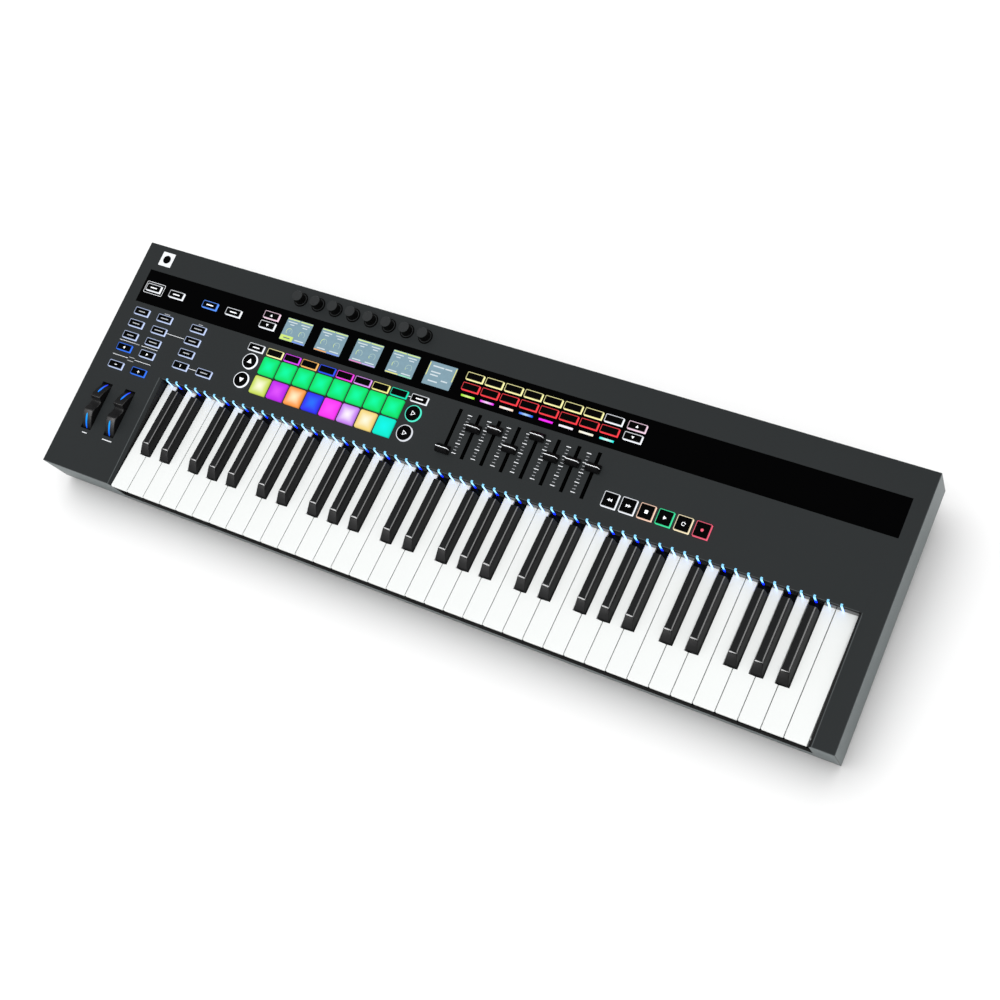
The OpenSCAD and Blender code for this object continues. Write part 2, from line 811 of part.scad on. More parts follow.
module case_screws() {
    color(metal_c)
    for (p = fixings)
        slab(p[0], p[1]) {
            disc(3, -body_h - 1.5, -body_h + 0.4);
            disc(screw_r, -body_h, -body_h + 14);
        }
}

top_case();
base_tray();
rear_panel();
display_lens();
display_modules();
light_guides();
control_board();
key_frame();
key_pivot_rod();
key_contact_board();
key_contact_domes();
key_stop_felts();
key_return_springs();
encoder_bodies();
fader_bodies();
wheel_bracket();
midi_sockets();
jack_sockets();
power_sockets();
rubber_feet();
case_screws();
keys_c();
keys_c_sharp();
keys_d();
keys_d_sharp();
keys_e();
keys_f();
keys_f_sharp();
keys_g();
keys_g_sharp();
keys_a();
keys_a_sharp();
keys_b();
pitch_wheel();
modulation_wheel();
knob_1();
knob_2();
knob_3();
knob_4();
knob_5();
knob_6();
knob_7();
knob_8();
fader_1();
fader_2();
fader_3();
fader_4();
fader_5();
fader_6();
fader_7();
fader_8();
pads_upper();
pads_lower();
left_buttons();
strip_buttons();
soft_buttons();
arrow_buttons();
fader_buttons();
transport_buttons();
power_button();
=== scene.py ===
import json
import math
import bpy
from mathutils import Matrix, Vector

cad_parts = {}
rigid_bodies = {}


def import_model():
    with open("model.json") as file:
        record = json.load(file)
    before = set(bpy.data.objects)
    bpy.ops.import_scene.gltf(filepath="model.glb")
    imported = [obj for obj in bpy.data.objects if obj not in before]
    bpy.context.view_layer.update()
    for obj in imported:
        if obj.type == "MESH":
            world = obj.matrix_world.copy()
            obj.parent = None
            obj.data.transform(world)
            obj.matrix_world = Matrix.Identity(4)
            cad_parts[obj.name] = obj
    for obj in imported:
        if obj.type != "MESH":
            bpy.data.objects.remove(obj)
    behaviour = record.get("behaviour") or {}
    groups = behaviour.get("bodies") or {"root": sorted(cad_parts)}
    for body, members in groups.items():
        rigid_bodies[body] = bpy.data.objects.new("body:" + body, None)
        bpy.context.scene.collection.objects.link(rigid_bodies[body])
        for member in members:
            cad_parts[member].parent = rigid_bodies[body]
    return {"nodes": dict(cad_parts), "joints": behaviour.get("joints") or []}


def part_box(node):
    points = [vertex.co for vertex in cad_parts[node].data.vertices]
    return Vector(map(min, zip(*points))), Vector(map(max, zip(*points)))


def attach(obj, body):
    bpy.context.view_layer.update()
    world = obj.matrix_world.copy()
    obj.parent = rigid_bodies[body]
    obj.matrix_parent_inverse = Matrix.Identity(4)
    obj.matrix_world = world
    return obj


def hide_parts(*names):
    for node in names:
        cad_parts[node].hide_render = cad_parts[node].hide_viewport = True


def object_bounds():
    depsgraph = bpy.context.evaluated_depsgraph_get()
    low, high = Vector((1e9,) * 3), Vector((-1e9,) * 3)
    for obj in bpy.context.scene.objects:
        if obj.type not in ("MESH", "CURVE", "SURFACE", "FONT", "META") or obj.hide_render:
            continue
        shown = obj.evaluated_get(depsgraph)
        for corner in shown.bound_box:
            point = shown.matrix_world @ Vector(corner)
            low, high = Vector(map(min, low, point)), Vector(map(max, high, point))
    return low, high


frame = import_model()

# Looks of a 61-key synthesizer controller. Lengths are in millimetres until a piece is placed in the frame.
CAD_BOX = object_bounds()
JOINTS = {j["name"]: j for j in frame["joints"]}
NODES = frame["nodes"]

# Slab frame in millimetres: u across, v up the slope, h square to the top surface.
U = Vector((1, 0, 0))
V = Vector(JOINTS["fader_1_slide"]["axis"]).normalized()
N = Vector(JOINTS["knob_1_turn"]["axis"]).normalized()
CTL_U, CTL_PITCH, KNOB_V = 229.5, 24.1, 278.5    # first control, step between controls, row of knobs
O = Vector(JOINTS["knob_1_turn"]["pos_m"]) - (CTL_U * U + KNOB_V * V) * 0.001
MM = Matrix.Scale(0.001, 4)
SLAB = MM @ Matrix((
    (U.x, V.x, N.x, O.x * 1000), (U.y, V.y, N.y, O.y * 1000),
    (U.z, V.z, N.z, O.z * 1000), (0, 0, 0, 1)))
TO_SLAB = SLAB.inverted()

# Key frame: x from the keyboard's left end, y from the key fronts, z from the white tops.
GAP, WHITES, OCTAVES, ALL_KEYS = 0.45, 36, 5, 61
lo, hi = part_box("keys_c")
KEYS = MM @ Matrix.Translation((lo.x * 1000 - GAP, lo.y * 1000, hi.z * 1000))
PITCH = ((hi.x - lo.x) * 1000 + 2 * GAP) / WHITES

# Places on the panel: rows of buttons from the rear to the front, columns from left to right.
FADER_U, ROWS = 476, dict(a=207.6, b=191.6, c=175.7, d=159.6, e=136.6, s=240, up=249.8, dn=237.3)
COLS = [34.2, 68.5, 118.5, 152.8, 203, 424.5, 671.5]
PAD_V = [190.2, 166.3]
TRANS_U, TRANS_PITCH, TRANS_V = 675.3, 20.64, 166.3
LENS = -0.6                                        # top of the glossy strip
OPEN_L, OPEN_R, OPEN_BACK = 98.5, 956.5, 139       # key opening
WALL_V = 138.0                                     # rear wall of the key opening


def lin(r, g, b):
    """A display colour, 0 to 255, as the linear colour that a shader takes."""
    def one(c):
        c /= 255
        return c / 12.92 if c <= 0.04045 else ((c + 0.055) / 1.055) ** 2.4
    return (one(r), one(g), one(b), 1)


def new_material(name):
    m = bpy.data.materials.new(name)
    m.use_nodes = True
    return m, m.node_tree.nodes, m.node_tree.links, m.node_tree.nodes["Principled BSDF"]


def finish_of(name, base, rough=0.5, metal=0.0, spec=0.5, coat=0.0, coat_rough=0.1, vary=0.08, grain=900.0,
              bump=0.05, smudge=22.0, rough_vary=0.06, glow=None, power=0.0, stretch=None):
    """A moulded or painted surface: fine grain in the bump, slow variation in colour and roughness."""
    m, nodes, links, sh = new_material(name)
    co = nodes.new("ShaderNodeTexCoord")
    at = co.outputs["Object"]
    if stretch:
        mp = nodes.new("ShaderNodeMapping")
        mp.inputs["Scale"].default_value = stretch
        links.new(at, mp.inputs["Vector"])
        at = mp.outputs["Vector"]
    slow = nodes.new("ShaderNodeTexNoise")
    slow.inputs["Scale"].default_value = smudge
    slow.inputs["Detail"].default_value = 4
    links.new(at, slow.inputs["Vector"])
    fine = nodes.new("ShaderNodeTexNoise")
    fine.inputs["Scale"].default_value = grain
    fine.inputs["Detail"].default_value = 3
    links.new(at, fine.inputs["Vector"])
    ramp = nodes.new("ShaderNodeMix")
    ramp.data_type = "RGBA"
    ramp.inputs["A"].default_value = [c * (1 - vary) for c in base[:3]] + [1]
    ramp.inputs["B"].default_value = [min(c * (1 + vary), 1) for c in base[:3]] + [1]
    links.new(slow.outputs["Fac"], ramp.inputs["Factor"])
    links.new(ramp.outputs["Result"], sh.inputs["Base Color"])
    mr = nodes.new("ShaderNodeMapRange")
    mr.inputs["To Min"].default_value = max(rough - rough_vary, 0.02)
    mr.inputs["To Max"].default_value = min(rough + rough_vary, 1)
    links.new(slow.outputs["Fac"], mr.inputs["Value"])
    links.new(mr.outputs["Result"], sh.inputs["Roughness"])
    bp = nodes.new("ShaderNodeBump")
    bp.inputs["Strength"].default_value = bump
    bp.inputs["Distance"].default_value = 0.0004
    links.new(fine.outputs["Fac"], bp.inputs["Height"])
    links.new(bp.outputs["Normal"], sh.inputs["Normal"])
    sh.inputs["Metallic"].default_value = metal
    sh.inputs["Specular IOR Level"].default_value = spec
    sh.inputs["Coat Weight"].default_value = coat
    sh.inputs["Coat Roughness"].default_value = coat_rough
    if glow:
        sh.inputs["Emission Color"].default_value = glow
        sh.inputs["Emission Strength"].default_value = power
    return m


def lit(name, rgb, power=1.0, base=0.05, rough=0.35):
    """Translucent plastic lit from inside: the light is a little uneven, as a light pipe's is."""
    col = lin(*rgb)
    m, nodes, links, sh = new_material(name)
    co = nodes.new("ShaderNodeTexCoord")
    nz = nodes.new("ShaderNodeTexNoise")
    nz.inputs["Scale"].default_value = 260
    links.new(co.outputs["Object"], nz.inputs["Vector"])
    mr = nodes.new("ShaderNodeMapRange")
    mr.inputs["To Min"].default_value = power * 0.86
    mr.inputs["To Max"].default_value = power * 1.1
    links.new(nz.outputs["Fac"], mr.inputs["Value"])
    links.new(mr.outputs["Result"], sh.inputs["Emission Strength"])
    sh.inputs["Emission Color"].default_value = col
    sh.inputs["Base Color"].default_value = [c * base for c in col[:3]] + [1]
    sh.inputs["Roughness"].default_value = rough
    return m


def glowing(name, power=1.0, base=0.08, rough=0.4, grain=0.0):
    """Lit silicone or light pipe: its colour comes from the mesh's own colours."""
    m, nodes, links, sh = new_material(name)
    at = nodes.new("ShaderNodeAttribute")
    at.attribute_name = "light"
    links.new(at.outputs["Color"], sh.inputs["Emission Color"])
    sh.inputs["Emission Strength"].default_value = power
    sh.inputs["Base Color"].default_value = (base, base, base, 1)
    sh.inputs["Roughness"].default_value = rough
    sh.inputs["Specular IOR Level"].default_value = 0.08
    if grain:
        co = nodes.new("ShaderNodeTexCoord")
        nz = nodes.new("ShaderNodeTexNoise")
        nz.inputs["Scale"].default_value = grain
        links.new(co.outputs["Object"], nz.inputs["Vector"])
        bp = nodes.new("ShaderNodeBump")
        bp.inputs["Strength"].default_value = 0.12
        bp.inputs["Distance"].default_value = 0.0003
        links.new(nz.outputs["Fac"], bp.inputs["Height"])
        links.new(bp.outputs["Normal"], sh.inputs["Normal"])
    return m


class Shape:
    """Faces in millimetres, each with its material's number, and a light colour at each corner point."""

    def __init__(self):
        self.v, self.f, self.m, self.c = [], [], [], []

    def ring(self, pts, colour=(0, 0, 0, 1)):
        n = len(self.v)
        self.v += [tuple(p) for p in pts]
        self.c += [colour] * len(pts)
        return list(range(n, n + len(pts)))

    def face(self, idx, mat=0):
        self.f.append(tuple(idx))
        self.m.append(mat)

    def band(self, a, b, mat=0, closed=True):
        n = len(a)
        for i in range(n if closed else n - 1):
            j = (i + 1) % n
            self.face((a[i], a[j], b[j], b[i]), mat)

    def loft(self, rings, mats=0, colours=None, first=None, last=None, closed=True):
        """Rings of equal length joined in turn. first and last are the materials of the end caps."""
        ids = [self.ring(r, colours[k] if colours else (0, 0, 0, 1)) for k, r in enumerate(rings)]
        for k in range(len(ids) - 1):
            self.band(ids[k], ids[k + 1], mats[k] if isinstance(mats, (list, tuple)) else mats, closed)
        if first is not None:
            self.face(reversed(ids[0]), first)
        if last is not None:
            self.face(ids[-1], last)
        return ids


def rounded(cx, cy, w, d, r, n=4):
    """Corner points of a rounded rectangle, anticlockwise."""
    r = max(min(r, w / 2 - 0.01, d / 2 - 0.01), 0.02)
    out = []
    for x, y, a0 in ((w / 2 - r, r - d / 2, -90), (w / 2 - r, d / 2 - r, 0),
                     (r - w / 2, d / 2 - r, 90), (r - w / 2, r - d / 2, 180)):
        for k in range(n + 1):
            a = math.radians(a0 + 90 * k / n)
            out.append((cx + x + r * math.cos(a), cy + y + r * math.sin(a)))
    return out


def circle(cx, cy, r, n=40, a0=0.0):
    return [(cx + r * math.cos(a0 + 2 * math.pi * k / n), cy + r * math.sin(a0 + 2 * math.pi * k / n))
            for k in range(n)]


def lift(pts, h):
    """Flat points set at height h."""
    return [(x, y, h) for x, y in pts]


def stack(s, outline, steps, cap=0, colours=None):
    """outline(inset) gives the points; steps are (inset, height, material of the band that ends there)."""
    rings = [lift(outline(i), h) for i, h, _ in steps]
    return s.loft(rings, [m for _, _, m in steps[1:]], colours, last=cap)


def plate(s, pts, h, mat=0, t=0.05):
    """A thin printed or set-in shape that stands t proud of h."""
    s.loft([lift(pts, h), lift(pts, h + t)], mat, last=mat)


def bar(s, cx, cy, w, d, h, mat=0, t=0.05, turn=0.0):
    """A small rectangle that stands t proud of h."""
    c, q = math.cos(turn), math.sin(turn)
    pts = [(cx + x * c - y * q, cy + x * q + y * c)
           for x, y in ((-w / 2, -d / 2), (w / 2, -d / 2), (w / 2, d / 2), (-w / 2, d / 2))]
    plate(s, pts, h, mat, t)


def frame_line(s, cx, cy, w, d, r, line, h, mat=0, t=0.05, n=4):
    """A thin outline with rounded corners."""
    out, inn = rounded(cx, cy, w, d, r, n), rounded(cx, cy, w - 2 * line, d - 2 * line, r - line, n)
    s.loft([lift(out, h), lift(out, h + t), lift(inn, h + t), lift(inn, h)], mat)


def arc(s, cx, cy, r0, r1, a0, a1, h, mat=0, t=0.05, n=20):
    """Part of a flat ring from angle a0 to a1, in degrees."""
    turns = [math.radians(a0 + (a1 - a0) * k / n) for k in range(n + 1)]
    pts, inn = ([(cx + r * math.cos(a), cy + r * math.sin(a)) for a in turns] for r in (r1, r0))
    a, b = s.ring(lift(pts, h + t)), s.ring(lift(inn, h + t))
    c, d = s.ring(lift(pts, h)), s.ring(lift(inn, h))
    s.band(b, a, mat, False)
    s.band(a, c, mat, False)
    s.band(d, b, mat, False)
    s.face((a[0], b[0], d[0], c[0]), mat)
    s.face((b[-1], a[-1], c[-1], d[-1]), mat)


def triangle(cx, cy, size, way):
    """Corner points of a triangle that points one way."""
    a0 = {"right": 0, "up": 90, "left": 180, "down": 270}[way]
    return [(cx + size * math.cos(math.radians(a0 + a)), cy + size * math.sin(math.radians(a0 + a)))
            for a in (0, 120, 240)]


def piece(name, s, mats, body, nodes=(), place=SLAB, sharp=32):
    """Turns a shape into an object that rides on a body and stands for some CAD nodes."""
    me = bpy.data.meshes.new(name)
    me.from_pydata([place @ Vector(p) for p in s.v], [], s.f)
    for m in mats:
        me.materials.append(m)
    me.polygons.foreach_set("material_index", s.m)
    me.polygons.foreach_set("use_smooth", [True] * len(s.f))
    if any(c != (0, 0, 0, 1) for c in s.c):
        layer = me.color_attributes.new("light", "FLOAT_COLOR", "POINT")
        layer.data.foreach_set("color", [x for c in s.c for x in c])
    me.update()
    me.set_sharp_from_angle(angle=math.radians(sharp))
    ob = bpy.data.objects.new(name, me)
    bpy.context.scene.collection.objects.link(ob)
    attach(ob, body)
    if nodes:
        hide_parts(*nodes)
    return ob


# ---------------------------------------------------------------- materials
top_paint = finish_of("panel_charcoal", lin(31, 34, 35), rough=0.6, spec=0.38, vary=0.05, grain=2600, bump=0.22,
                      smudge=9, rough_vary=0.05)
# the outer sides are painted lighter than the panel to stand for the bright floor's reflection: painted light; the
# satin sheen itself comes from the shader
side_grey_painted_light = finish_of("side_satin_painted_light", lin(84, 94, 95), rough=0.42, metal=0.3, spec=0.6, vary=0.04,
                       grain=2200, bump=0.12, smudge=7)
# darker than the panel: the inside moulding's own colour, and painted shade on the walls and floors inside the
# panel's openings
inside_dark_and_painted_shade = finish_of("case_inside_and_painted_shade", lin(26, 26, 26), rough=0.7, spec=0.25, grain=1500, bump=0.2)
tray_mat = finish_of("tray_moulding", lin(34, 34, 35), rough=0.6, spec=0.4, grain=1300, bump=0.35, vary=0.1)
rear_mat = finish_of("rear_plate_black", lin(30, 30, 31), rough=0.5, spec=0.4, grain=1800, bump=0.2)
gloss_mat = finish_of("smoked_gloss", (0.0003, 0.0003, 0.0004, 1), rough=0.08, spec=0.03, coat=0.0, vary=0.1,
                      grain=60, bump=0.01, smudge=30, rough_vary=0.03)
socket_mat = finish_of("socket_plastic", lin(20, 20, 21), rough=0.38, spec=0.5, grain=900, bump=0.1)
zinc_mat = finish_of("zinc_steel", lin(150, 152, 156), rough=0.36, metal=1.0, vary=0.12, grain=700, bump=0.15,
                     stretch=(1, 12, 12))
board_mat = finish_of("board_green", lin(18, 74, 40), rough=0.4, vary=0.2, grain=400, bump=0.2)
felt_mat = finish_of("felt_grey", lin(26, 26, 28), rough=0.95, spec=0.1, vary=0.25, grain=1600, bump=0.9)
dome_mat = finish_of("silicone_grey", lin(120, 122, 126), rough=0.6, grain=500, bump=0.1)
foot_mat = finish_of("foot_rubber", lin(24, 24, 25), rough=0.85, spec=0.2, grain=1200, bump=0.5)
white_key = finish_of("key_white_gloss", lin(207, 209, 208), rough=0.24, spec=0.5, coat=0.35, coat_rough=0.08,
                      vary=0.012, grain=420, bump=0.015, smudge=14, rough_vary=0.05)
black_key = finish_of("key_black_satin", lin(11, 12, 13), rough=0.17, spec=0.36, vary=0.15, grain=1500, bump=0.02,
                      smudge=30, rough_vary=0.05)
black_side = finish_of("key_black_flank", lin(10, 10, 11), rough=0.4, spec=0.14, vary=0.15, grain=1500, bump=0.1)
rubber = finish_of("knob_rubber", lin(4, 4, 4), rough=0.7, spec=0.15, vary=0.15, grain=1600, bump=0.35)
knob_cap = finish_of("knob_cap_grey", lin(36, 38, 39), rough=0.55, spec=0.4, vary=0.06, grain=2200, bump=0.2)
fader_mat = finish_of("fader_black", lin(5, 5, 6), rough=0.36, spec=0.1, vary=0.15, grain=1600, bump=0.14)
wheel_mat = finish_of("wheel_black", lin(15, 15, 16), rough=0.42, spec=0.12, vary=0.15, grain=1700, bump=0.06)
# near-black: the fader bodies' own black, and painted shade on the panel's faces in the knob wells and fader slots
black_and_painted_shade = finish_of("recess_black_and_painted_shade", lin(3, 3, 3), rough=0.8, spec=0.05, vary=0.2, grain=1500, bump=0.2)
wall_gloss = finish_of("key_wall_gloss", lin(10, 10, 12), rough=0.14, spec=0.5, vary=0.1, grain=900, bump=0.02)
# the wall turns matt under the panel's edge
fade_nodes, fade_links = wall_gloss.node_tree.nodes, wall_gloss.node_tree.links
fade_split, fade = fade_nodes.new("ShaderNodeSeparateXYZ"), fade_nodes.new("ShaderNodeMapRange")
fade_links.new(fade_nodes["Texture Coordinate"].outputs["Object"], fade_split.inputs["Vector"])
fade_links.new(fade_split.outputs["Z"], fade.inputs["Value"])
for key, value in (("From Min", 0.066), ("From Max", 0.068), ("To Min", 0.14), ("To Max", 0.85)):
    fade.inputs[key].default_value = value
fade_links.new(fade.outputs["Result"], fade_nodes["Principled BSDF"].inputs["Roughness"])
# darker, duller black for the keys' tails under the panel's edge: painted shade
black_tail_painted_shade = finish_of("key_black_tail_painted_shade", lin(5, 5, 6), rough=0.2, spec=0.05, vary=0.1, grain=900, bump=0.01)
# lighter colour for the case's rounded edges: a painted highlight
painted_edge_highlight = finish_of("panel_edge_painted_highlight", lin(62, 66, 67), rough=0.42, spec=0.5, vary=0.12, grain=1800, bump=0.12)
# pale and dim print, each with a faint Emission glow though it holds no lamp: painted light
print_grey_painted_glow = finish_of("print_pale_painted_glow", lin(196, 198, 200), rough=0.6, spec=0.2, vary=0.05, grain=900, bump=0.05,
                       glow=lin(150, 152, 156), power=0.35)
print_dim_painted_glow = finish_of("print_dim_painted_glow", lin(140, 142, 145), rough=0.6, spec=0.2, vary=0.05, grain=900, bump=0.05,
                      glow=lin(110, 112, 115), power=0.25)
inset_dark = finish_of("button_inset", (0.0004, 0.0004, 0.0004, 1), rough=0.45, spec=0.06, vary=0.15, grain=1600,
                       bump=0.15)
# white index lines and marks, and grey marks, each with a faint Emission glow though they hold no lamp: painted
# light
white_line_painted_glow = finish_of("index_white_painted_glow", lin(225, 228, 230), rough=0.45, vary=0.03, grain=600, bump=0.03,
                       glow=lin(200, 202, 205), power=0.3)
label_mark_painted_glow = finish_of("label_mark_painted_glow", lin(150, 153, 156), rough=0.5, vary=0.05, grain=900, bump=0.03,
                       glow=lin(150, 152, 156), power=0.3)

LIGHTS = {
    "white": (246, 250, 255), "ice": (196, 212, 248), "blue": (52, 120, 250), "azure": (90, 150, 255),
    "yellow": (255, 250, 176), "magenta": (228, 70, 255), "orange": (255, 192, 104), "deep_blue": (40, 80, 255),
    "pink": (255, 64, 240), "lilac": (232, 160, 255), "cream": (255, 248, 148), "teal": (8, 236, 186),
    "red": (252, 62, 72), "red_pink": (246, 84, 100), "green": (70, 226, 120), "peach": (255, 214, 190),
    "aqua": (80, 232, 200), "mint": (60, 232, 160), "vanilla": (252, 236, 196), "coral": (240, 96, 122),
    "silver": (214, 218, 224), "rose": (246, 214, 232),
}
LIT = {k: (lit("lit_" + k, v, 1.15), lit("rim_" + k, v, 0.7)) for k, v in LIGHTS.items()}
pad_light = glowing("pad_silicone_lit", power=1.0, base=0.004, rough=0.5, grain=700)
pipe_light = glowing("light_pipe_lit", power=1.15, base=0.01, rough=0.25)
wheel_light = glowing("wheel_strip_lit", power=1.15, base=0.004, rough=0.25)

# ---------------------------------------------------------------- CAD nodes that stay
FINISH = {
    "base_tray": tray_mat, "rear_panel": rear_mat, "display_lens": gloss_mat, "display_modules": socket_mat,
    "control_board": board_mat, "key_frame": zinc_mat, "key_pivot_rod": zinc_mat, "key_contact_board": board_mat,
    "key_contact_domes": dome_mat, "key_stop_felts": felt_mat, "key_return_springs": zinc_mat,
    "encoder_bodies": socket_mat, "fader_bodies": black_and_painted_shade, "wheel_bracket": inside_dark_and_painted_shade,
    "midi_sockets": socket_mat, "jack_sockets": socket_mat, "power_sockets": socket_mat,
    "rubber_feet": foot_mat, "case_screws": zinc_mat, "power_button": socket_mat,
}


def soften(ob, width, segments=2, weights=False, angle=40, edge=-1):
    """Welds the facets, rounds the edges a little and keeps the hard ones crisp."""
    me = ob.data
    if "custom_normal" in me.attributes:
        me.attributes.remove(me.attributes["custom_normal"])
    me.polygons.foreach_set("use_smooth", [True] * len(me.polygons))
    w = ob.modifiers.new("weld", "WELD")
    w.merge_threshold = 0.00002
    if width:
        b = ob.modifiers.new("round", "BEVEL")
        b.width = width
        b.segments = segments
        b.limit_method = "WEIGHT" if weights else "ANGLE"
        b.angle_limit = math.radians(angle)
        b.miter_outer = "MITER_ARC"
        b.use_clamp_overlap = not weights
        b.material = edge
    e = ob.modifiers.new("crisp", "EDGE_SPLIT")
    e.split_angle = math.radians(33)


for name, mat in FINISH.items():
    ob = NODES[name]
    ob.data.materials.clear()
    ob.data.materials.append(mat)
    ob.data.polygons.foreach_set("material_index", [0] * len(ob.data.polygons))
    soften(ob, 0.00025 if name not in ("display_lens", "control_board", "key_frame") else 0)

TOP, SIDE_PAINTED_LIGHT, INNER_AND_SHADE, WELL_SHADE, EDGE, WALL = range(6)
case = NODES["top_case"]
me = case.data
me.materials.clear()
for m in (top_paint, side_grey_painted_light, inside_dark_and_painted_shade, black_and_painted_shade, painted_edge_highlight, wall_gloss):
    me.materials.append(m)
local = [TO_SLAB @ v.co for v in me.vertices]
W = max(p.x for p in local)
D = max(p.y for p in local)
rot = TO_SLAB.to_3x3().normalized()
UNDER = -3.4                                       # the panel's sheet ends above this height


def paint_for(c, n):
    """The case's material at a face's centre c and normal n, both in the slab frame."""
    if -1.3 < c.z < -0.05 and 268 < c.y < 289 and 215 < c.x < 410:          # wells round the knobs, near-black: painted shade
        return WELL_SHADE
    if c.z < -0.05 and 150 < c.y < 218 and 465 < c.x < 655:                 # fader slots, near-black: painted shade
        return WELL_SHADE
    # the right chamfer of the key opening faces away from the light and takes the darker inside colour: painted
    # shade
    if 950 < c.x < 957 and c.y < OPEN_BACK and n.x < -0.3 and UNDER < c.z < -0.1:
        return INNER_AND_SHADE
    if n.y < -0.3 and n.z > 0.3 and 137 < c.y < 139.5 and c.z > -0.6:       # bevel over the key wall, lighter: painted highlight
        return EDGE
    if n.y < -0.5 and 134 < c.y < 139.5 and -14.5 < c.z < -0.3:
        return WALL
    if c.z > UNDER and (n.z > 0.5 or 0.3 < abs(n.z) < 0.95):
        return TOP if c.z > -1.0 or abs(n.z) < 0.95 else INNER_AND_SHADE
    # outer faces take the lighter side colour: painted light
    if (c.x < 0.1 and n.x < -0.9) or (c.x > W - 0.1 and n.x > 0.9) or (c.y < 0.1 and n.y < -0.9):
        return SIDE_PAINTED_LIGHT
    # all other faces, the walls of the openings among them, take the darker inside colour: painted shade where they
    # show
    return SIDE_PAINTED_LIGHT if c.y > D - 0.1 and n.y > 0.9 else INNER_AND_SHADE


me.polygons.foreach_set("material_index", [
    paint_for(sum((local[i] for i in p.vertices), Vector()) / len(p.vertices), rot @ p.normal)
    for p in me.polygons])
weight = me.attributes.new("bevel_weight_edge", "FLOAT", "EDGE")


def planes(p):
    """Names of the outer and opening planes that a point of the case lies in."""
    return {k for k, on in (("l", p.x < 0.01), ("r", p.x > W - 0.01), ("f", p.y < 0.01), ("b", p.y > D - 0.01),
                            ("t", p.z > -0.01), ("k", abs(p.x - OPEN_L) < 0.02 and p.y < OPEN_BACK),
                            ("m", abs(p.x - OPEN_R) < 0.02 and p.y < OPEN_BACK)) if on}


weight.data.foreach_set("value", [
    1.0 if len(planes(local[e.vertices[0]]) & planes(local[e.vertices[1]])) >= 2 else 0.0 for e in me.edges])
# the case's rounded edges take the lighter edge colour: painted highlight
soften(case, 0.0006, 3, weights=True, edge=EDGE)

# ---------------------------------------------------------------- keys
BLACK_AFTER = [1, 2, 4, 5, 6]                      # white keys to the left of each black key in an octave
BLACK_OFF = [-1.8, 2.6, -3.3, 0, 3.4]              # how far each one stands from that line
LEFT = [-1, 0, 1, -1, 2, 3, 4]                     # black key at the left and right of each white key
RIGHT = [0, 1, -1, 2, 3, 4, -1]
NECK, BLACK_Y0, BLACK_Y1, BACK = 46.8, 47.6, 129.5, 190
BLACK_W, BLACK_TOP, BLACK_H = 13.6, 9.4, 11.5      # width at the foot and at the top, height
GLOSS, FLANK, TAIL_SHADE = range(3)                      # a black key's materials


def black_x(k):
    """Middle of black key k in its octave."""
    return PITCH * BLACK_AFTER[k] + BLACK_OFF[k]


def white(s, x0, n, full=False):
    """One white key: rounded front edge and corners, eased side edges, narrow neck between the black keys."""
    fl, fr = PITCH * n + GAP, PITCH * (n + 1) - GAP
    nl = fl if LEFT[n] < 0 else black_x(LEFT[n]) + BLACK_W / 2 + 0.8
    nr = fr if full or RIGHT[n] < 0 else black_x(RIGHT[n]) - BLACK_W / 2 - 0.8
    front, corner, ease, thin, deep = 1.4, 1.1, 0.45, 3.2, 15.6

    def section(y, drop, inset, l, r, bottom=-deep):
        l, r = l + inset, r - inset
        pts = [(x0 + l, y, bottom)]
        for k in range(5):
            a = math.radians(180 - 22.5 * k)
            pts.append((x0 + l + ease + ease * math.cos(a), y, -drop - ease + ease * math.sin(a)))
        for k in range(5):
            a = math.radians(90 - 22.5 * k)
            pts.append((x0 + r - ease + ease * math.cos(a), y, -drop - ease + ease * math.sin(a)))
        pts.append((x0 + r, y, bottom))
        return pts

    rings = []
    for k in range(8, -1, -1):
        a = math.radians(90 * k / 8)
        y = front * (1 - math.sin(a))
        inset = corner - math.sqrt(max(corner ** 2 - max(corner - y, 0) ** 2, 0)) if y < corner else 0
        rings.append(section(y, front * (1 - math.cos(a)), inset, fl, fr, -thin))
    rings.append(section(10, 0, 0, fl, fr, -thin))
    rings.append(section(10, 0, 0, fl, fr))
    rings.append(section(NECK - 0.4, 0, 0, fl, fr))
    rings.append(section(NECK, 0, 0, nl, nr))
    rings.append(section(BACK, 0, 0, nl, nr))
    s.loft(rings, 0, first=0, last=0)


